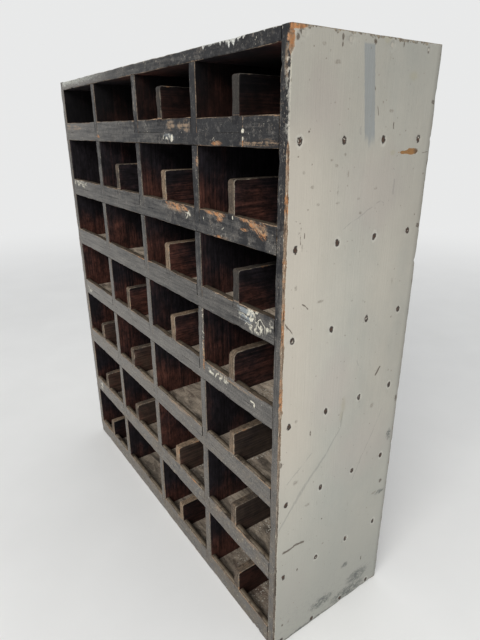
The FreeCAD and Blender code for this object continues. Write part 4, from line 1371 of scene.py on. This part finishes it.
class SORTER_OT_side_boards(bpy.types.Operator):
    """Both side boards, rebated for the back, with pits round the nails"""
    bl_idname = "sorter.side_boards"
    bl_label = "Side Boards"

    def execute(self, context):
        wear, colours = context.scene.sorter_wear, context.scene.sorter_colours
        finish = side_finish(colours, wear)
        levels = [sum(z) / 2 for z in ((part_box(n)[0].z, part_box(n)[1].z)
                                       for n in ["top_board", "base_board"] + SHELVES)]
        nails = [np.array((y, z)) for y in NAIL_DEPTHS for z in levels]
        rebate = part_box("back_board_1")[0].x
        for node, outer, inner in (("left_side_board", "left", "right"),
                                   ("right_side_board", "right", "left")):
            low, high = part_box(node)
            rulers = [ruler(low.x, high.x, wear.grid, [rebate, -rebate], THIN),
                      ruler(low.y, high.y, 2 * wear.grid, [BACK_INSIDE] + nail_marks(NAIL_DEPTHS)),
                      ruler(low.z, high.z, wear.grid, nail_marks(levels))]
            points, quads = grid_solid(
                rulers, lambda x, y, z: (y < BACK_INSIDE) | (np.abs(x) > abs(rebate)))
            faces = box_faces(points, low, high)
            arrises = [("front", outer), ("front", inner), (outer, "top"), (outer, "under"),
                       ("front", "top"), ("front", "under"), (outer, "back")]
            strip = arris_distance(faces, arrises[:1])
            arris = arris_distance(faces, arrises[1:2])
            edges = arris_distance(faces, arrises[2:])
            rng = draws(wear, node)
            above = above_floor(points)
            nail = sink_nails(points, faces, outer, nails, rng)
            wear_arrises(points, faces, arrises, wear, rng, knocks=KNOCKS[node, "front"])
            waver(points, faces, inner, "front", 0.7 * MM, rng)
            make_piece(node, "outside_boards", points, quads, finish,
                       strip=strip, arris=arris, edges=edges, nail=nail, above=above)
        return {"FINISHED"}


class SORTER_OT_top_and_base(bpy.types.Operator):
    """The top board and the base between the sides"""
    bl_idname = "sorter.top_and_base"
    bl_label = "Top and Base"

    def execute(self, context):
        wear, colours = context.scene.sorter_wear, context.scene.sorter_colours
        finish = top_finish(colours)
        middles = [(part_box(n)[0].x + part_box(n)[1].x) / 2 for n in UPRIGHTS]
        nails = [np.array((x, y)) for x in middles for y in NAIL_DEPTHS]
        for node, outer in (("top_board", "top"), ("base_board", "under")):
            low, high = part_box(node)
            rulers = [ruler(low.x, high.x, wear.grid, nail_marks(middles)),
                      ruler(low.y, high.y, 2 * wear.grid, nail_marks(NAIL_DEPTHS)),
                      ruler(low.z, high.z, wear.grid, (), THIN)]
            arrises = [("front", "top"), ("front", "under")] if outer == "top" else [("front", "under")]
            wavers = [("top", 1.0), ("under", 0.7)] if outer == "top" else []
            worn_board(node, "outside_boards", finish, wear, rulers, solid_box, arrises, wavers, 1.2,
                       (outer, nails), arris=lambda points, faces: arris_distance(faces, arrises))
        return {"FINISHED"}


class SORTER_OT_shelves(bpy.types.Operator):
    """The shelves, slotted at the back for the uprights"""
    bl_idname = "sorter.shelves"
    bl_label = "Shelves"

    def execute(self, context):
        wear, colours = context.scene.sorter_wear, context.scene.sorter_colours
        finish = shelf_finish(colours)
        slots = [(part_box(n)[0].x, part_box(n)[1].x) for n in UPRIGHTS]
        for node in SHELVES:
            low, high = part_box(node)
            half = (low.y + high.y) / 2
            rulers = [ruler(low.x, high.x, wear.grid, [x for slot in slots for x in slot]),
                      ruler(low.y, high.y, 3 * wear.grid, [half]),
                      ruler(low.z, high.z, wear.grid, (), THIN)]

            def filled(x, y, z):
                in_slot = np.any([(x > left) & (x < right) for left, right in slots], axis=0)
                return ~(in_slot & (y > half))

            arrises = [("front", "under")]
            worn_board(node, "shelves", finish, wear, rulers, filled, arrises, [("under", 0.9)],
                       arris=lambda points, faces: arris_distance(faces, arrises))
        return {"FINISHED"}


class SORTER_OT_uprights(bpy.types.Operator):
    """The uprights, slotted at the front for the shelves"""
    bl_idname = "sorter.uprights"
    bl_label = "Uprights"

    def execute(self, context):
        wear, colours = context.scene.sorter_wear, context.scene.sorter_colours
        finish = upright_finish(colours)
        slots = [(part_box(n)[0].z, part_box(n)[1].z) for n in SHELVES]
        for node in UPRIGHTS:
            low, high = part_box(node)
            half = (low.y + high.y) / 2
            rulers = [ruler(low.x, high.x, wear.grid, (), THIN),
                      ruler(low.y, high.y, 3 * wear.grid, [half]),
                      ruler(low.z, high.z, wear.grid, [z for slot in slots for z in slot])]

            def filled(x, y, z):
                in_slot = np.any([(z > foot) & (z < top) for foot, top in slots], axis=0)
                return ~(in_slot & (y < half))

            arrises = [("front", "left"), ("front", "right")]
            worn_board(node, "uprights", finish, wear, rulers, filled, arrises,
                       [("left", 0.8), ("right", 0.8)],
                       arris=lambda points, faces: arris_distance(faces, arrises),
                       above=lambda points, faces: above_floor(points))
        return {"FINISHED"}


class SORTER_OT_lips(bpy.types.Operator):
    """A lip in every compartment, notched for the low partitions"""
    bl_idname = "sorter.lips"
    bl_label = "Lips"

    def execute(self, context):
        wear, colours = context.scene.sorter_wear, context.scene.sorter_colours
        finish = lip_finish(colours)
        walls = [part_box("left_side_board")] + [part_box(n) for n in UPRIGHTS] + [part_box("right_side_board")]
        bays = [(left[1].x, right[0].x) for left, right in zip(walls, walls[1:])]
        for row in range(1, ROWS + 1):
            node = f"lips_row_{row}"
            low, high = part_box(node)
            rng = draws(wear, node)
            parts = []
            for column, bay in enumerate(bays, start=1):
                parts.append(self.lip(wear, rng, low, high, bay, row, column,
                                      sum(len(p[0]) for p in parts)))
            points, quads, arris, joint = (np.concatenate(group) for group in zip(*parts))
            make_piece(node, "lips", points, quads, finish, arris=arris, joint=joint)
        return {"FINISHED"}

    def lip(self, wear, rng, low, high, bay, row, column, first):
        """One lip: points, quads counted on from the first number, and its fields."""
        partition = f"low_partition_{row}_{column}"
        notch = ()
        if partition in PARTITIONS:
            notch = (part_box(partition)[0].x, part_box(partition)[1].x)
        lap = low.z + LAP_HIGH
        rulers = [ruler(*bay, wear.grid, notch, THIN),
                  ruler(low.y, high.y, wear.grid, (), THIN),
                  ruler(low.z, high.z, wear.grid, [lap], THIN)]

        def filled(x, y, z):
            if not notch:
                return solid_box(x, y, z)
            return ~((x > notch[0]) & (x < notch[1]) & (z > lap))

        points, quads = grid_solid(rulers, filled)
        faces = box_faces(points, (bay[0], low.y, low.z), (bay[1], high.y, high.z))
        arrises = [("front", "top"), ("back", "top")]
        arris = arris_distance(faces, [("front", "top")])
        joint = np.min([faces[side].distance for side in ("left", "right", "under")], axis=0)
        wear_arrises(points, faces, arrises, wear, rng, 1.25)
        waver(points, faces, "top", "front", 2.0 * MM, rng)
        return points, quads + first, arris, joint


class SORTER_OT_low_partitions(bpy.types.Operator):
    """The low partitions, with rounded front corners and notches over the lips"""
    bl_idname = "sorter.low_partitions"
    bl_label = "Low Partitions"

    def execute(self, context):
        wear, colours = context.scene.sorter_wear, context.scene.sorter_colours
        finish = partition_finish(colours)
        for node in PARTITIONS:
            low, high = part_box(node)
            lip_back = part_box("lips_row_1")[1].y
            lap = low.z + LAP_HIGH
            corner = WORN_CORNERS.get(node, CORNER_RADIUS)
            across_corner = [corner * (1 - math.cos(math.radians(a))) for a in (30, 45, 60, 75, 90)]
            rulers = [ruler(low.x, high.x, wear.grid, (), THIN),
                      ruler(low.y, high.y, wear.grid, [lip_back] + [low.y + c for c in across_corner]),
                      ruler(low.z, high.z, wear.grid, [lap] + [high.z - c for c in across_corner])]
            points, quads = grid_solid(rulers, lambda x, y, z: ~((y < lip_back) & (z < lap)))
            faces = box_faces(points, low, high)
            rng = draws(wear, node)
            edge = self.round_corner(points, faces, corner * rng.uniform(0.85, 1.15))
            handled = edge.distance.copy()
            above = faces["under"].distance.copy()
            arris = np.maximum(edge.distance, np.minimum(faces["left"].distance, faces["right"].distance))
            for side in ("left", "right"):
                run = points[:, 1] - points[:, 2]
                radius = rubbed_radius(run, wear, rng, 1.5)
                foot = np.clip((above - LAP_HIGH) / (LIP_HIGH - LAP_HIGH), 0.15, 1)
                ease(points, edge, faces[side], radius * foot)
            make_piece(node, "low_partitions", points, quads, finish,
                       arris=arris, handled=handled, above=above, pale=PALE_EDGES.get(node, 0.3))
        return {"FINISHED"}

    def round_corner(self, points, faces, radius):
        """Round the front top corner and return the front and top as one bent face."""
        front, top = faces["front"], faces["top"]
        reach_front = np.clip(radius - front.distance, 0, None)
        reach_top = np.clip(radius - top.distance, 0, None)
        length = np.hypot(reach_front, reach_top)
        in_corner = (reach_front > 0) & (reach_top > 0)
        over = np.where(in_corner, np.clip(1 - radius / np.maximum(length, 1e-9), 0, None), 0)
        points += front.inward * (reach_front * over)[:, None]
        points += top.inward * (reach_top * over)[:, None]
        share_front = np.where(in_corner, reach_front / np.maximum(length, 1e-9),
                               (front.distance < top.distance).astype(float))
        share_top = np.where(in_corner, reach_top / np.maximum(length, 1e-9),
                             (front.distance >= top.distance).astype(float))
        flat = np.minimum(front.distance, top.distance)
        distance = np.where(in_corner, np.clip(radius - length, 0, None), flat)
        inward = front.inward * share_front[:, None] + top.inward * share_top[:, None]
        return Face(distance, inward)


class SORTER_OT_back_boards(bpy.types.Operator):
    """The matched boards of the back"""
    bl_idname = "sorter.back_boards"
    bl_label = "Back Boards"

    def execute(self, context):
        finish = back_finish(context.scene.sorter_colours)
        for node in BACK_BOARDS:
            dress_node(node, finish, 0.5 * MM)
        return {"FINISHED"}


class SORTER_OT_nails(bpy.types.Operator):
    """Rusted cut nails in the sides, top, base and back"""
    bl_idname = "sorter.nails"
    bl_label = "Nails"

    def execute(self, context):
        finish = nail_finish(context.scene.sorter_colours)
        for node in NAILS:
            dress_node(node, finish, 0.7 * MM)
        return {"FINISHED"}


# ---------------------------------------------------------------- stage

LAMP_SIZE = (2.4, 1.8)
LAMP_PLACE = (1.9, -2.7, 2.9)
LAMP_TARGET = (0.3, 0, 0.5)
LAMP_COLOUR = (1.0, 0.985, 0.96)
ROOM_COLOUR = (0.97, 0.985, 1.0, 1)
FLOOR_HALF = 9.0
# Where the floor starts to blend into the backdrop, and where it has done so.
FLOOR_FADE = (1.6, 4.5)


class SORTER_OT_stage(bpy.types.Operator):
    """Floor, room light, one large soft lamp and the camera"""
    bl_idname = "sorter.stage"
    bl_label = "Stage"

    def execute(self, context):
        scene, stage = context.scene, context.scene.sorter_stage
        scene.view_settings.view_transform = "Standard"
        self.make_floor(scene, stage)
        self.make_room(scene, stage)
        self.make_lamp(scene, stage)
        self.make_camera(scene, stage)
        return {"FINISHED"}

    def make_floor(self, scene, stage):
        half = FLOOR_HALF
        floor_mesh = bpy.data.meshes.new("floor")
        corners = [(-half, -half, 0), (half, -half, 0), (half, half, 0), (-half, half, 0)]
        floor_mesh.from_pydata(corners, [], [(0, 1, 2, 3)])
        floor = bpy.data.objects.new("floor", floor_mesh)
        scene.collection.objects.link(floor)
        finish = Finish("pale floor", specular=0.2)
        finish.colour = finish.tint(stage.floor, finish.noise(3, detail=4), 0.97, 1.03)
        finish.roughness = 0.6
        material = finish.finished()
        far = finish.step(finish.vector("LENGTH", finish.place, (0, 0, 0)), *FLOOR_FADE)
        glow = finish.tree.nodes.new("ShaderNodeEmission")
        finish.feed(glow.inputs["Color"], stage.backdrop)
        rays = finish.tree.nodes.new("ShaderNodeLightPath").outputs
        seen = finish.most(rays["Is Camera Ray"], rays["Is Glossy Ray"], rays["Is Transmission Ray"])
        join = finish.tree.nodes.new("ShaderNodeMixShader")
        finish.feed(join.inputs[0], finish.times(far, seen))
        finish.feed(join.inputs[1], finish.surface.outputs[0])
        finish.feed(join.inputs[2], glow.outputs[0])
        output = next(n for n in finish.tree.nodes if n.type == "OUTPUT_MATERIAL")
        finish.feed(output.inputs["Surface"], join.outputs[0])
        floor_mesh.materials.append(material)

    def make_room(self, scene, stage):
        room = bpy.data.worlds.new("room")
        scene.world = room
        room.use_nodes = True
        nodes, links = room.node_tree.nodes, room.node_tree.links
        nodes.clear()
        light = nodes.new("ShaderNodeBackground")
        light.inputs["Color"].default_value = ROOM_COLOUR
        light.inputs["Strength"].default_value = stage.sky
        seen = nodes.new("ShaderNodeBackground")
        seen.inputs["Color"].default_value = tuple(stage.backdrop) + (1,)
        rays = nodes.new("ShaderNodeLightPath").outputs
        either = nodes.new("ShaderNodeMath")
        either.operation = "MAXIMUM"
        links.new(rays["Is Camera Ray"], either.inputs[0])
        links.new(rays["Is Transmission Ray"], either.inputs[1])
        any_seen = nodes.new("ShaderNodeMath")
        any_seen.operation = "MAXIMUM"
        links.new(either.outputs[0], any_seen.inputs[0])
        links.new(rays["Is Glossy Ray"], any_seen.inputs[1])
        join = nodes.new("ShaderNodeMixShader")
        links.new(any_seen.outputs[0], join.inputs[0])
        links.new(light.outputs[0], join.inputs[1])
        links.new(seen.outputs[0], join.inputs[2])
        output = nodes.new("ShaderNodeOutputWorld")
        links.new(join.outputs[0], output.inputs["Surface"])

    def make_lamp(self, scene, stage):
        data = bpy.data.lights.new("soft lamp", "AREA")
        data.shape = "RECTANGLE"
        data.size, data.size_y = LAMP_SIZE
        data.energy = stage.key_power
        data.color = LAMP_COLOUR
        lamp = bpy.data.objects.new("soft lamp", data)
        lamp.matrix_world = aimed(LAMP_PLACE, LAMP_TARGET)
        scene.collection.objects.link(lamp)

    def make_camera(self, scene, stage):
        data = bpy.data.cameras.new("camera")
        data.sensor_width = 36
        data.lens = stage.lens
        camera = bpy.data.objects.new("camera", data)
        heading, pitch, roll = stage.camera_turn
        forward = np.array((math.sin(heading) * math.cos(pitch), math.cos(heading) * math.cos(pitch),
                            -math.sin(pitch)))
        right = np.array((math.cos(heading), -math.sin(heading), 0.0))
        down = np.cross(forward, right)
        right, down = (math.cos(roll) * right + math.sin(roll) * down,
                       -math.sin(roll) * right + math.cos(roll) * down)
        turned = Matrix(np.stack([right, -down, -forward], 1).tolist()).to_4x4()
        camera.matrix_world = Matrix.Translation(stage.camera_place) @ turned
        scene.collection.objects.link(camera)
        scene.camera = camera


def aimed(place, target):
    """A matrix that stands at a place and looks at a target."""
    place = np.array(place, float)
    back = place - np.array(target, float)
    back /= np.linalg.norm(back)
    right = np.cross((0, 0, 1), back)
    right /= np.linalg.norm(right)
    turned = Matrix(np.stack([right, np.cross(back, right), back], 1).tolist()).to_4x4()
    return Matrix.Translation(place.tolist()) @ turned


# ---------------------------------------------------------------- sidebar and registration

PIECES = (SORTER_OT_side_boards, SORTER_OT_top_and_base, SORTER_OT_shelves, SORTER_OT_uprights,
          SORTER_OT_lips, SORTER_OT_low_partitions, SORTER_OT_back_boards, SORTER_OT_nails,
          SORTER_OT_stage)


class SORTER_PT_sidebar(bpy.types.Panel):
    bl_idname = "SORTER_PT_sidebar"
    bl_label = "Mail Sorter"
    bl_space_type = "VIEW_3D"
    bl_region_type = "UI"
    bl_category = "Sorter"

    def draw(self, context):
        for settings in (context.scene.sorter_wear, context.scene.sorter_colours,
                         context.scene.sorter_stage):
            box = self.layout.box()
            for name in settings.__annotations__:
                box.prop(settings, name)
        for operator in PIECES:
            self.layout.operator(operator.bl_idname)


SETTINGS = {"sorter_wear": SorterWear, "sorter_colours": SorterColours, "sorter_stage": SorterStage}
CLASSES = tuple(SETTINGS.values()) + PIECES + (SORTER_PT_sidebar,)


def register():
    for cls in CLASSES:
        bpy.utils.register_class(cls)
    for name, group in SETTINGS.items():
        setattr(bpy.types.Scene, name, PointerProperty(type=group))


def unregister():
    for name in SETTINGS:
        delattr(bpy.types.Scene, name)
    for cls in reversed(CLASSES):
        bpy.utils.unregister_class(cls)


def main():
    register()
    for operator in PIECES:
        group, name = operator.bl_idname.split(".")
        getattr(getattr(bpy.ops, group), name)()


if __name__ == "__main__":
    main()
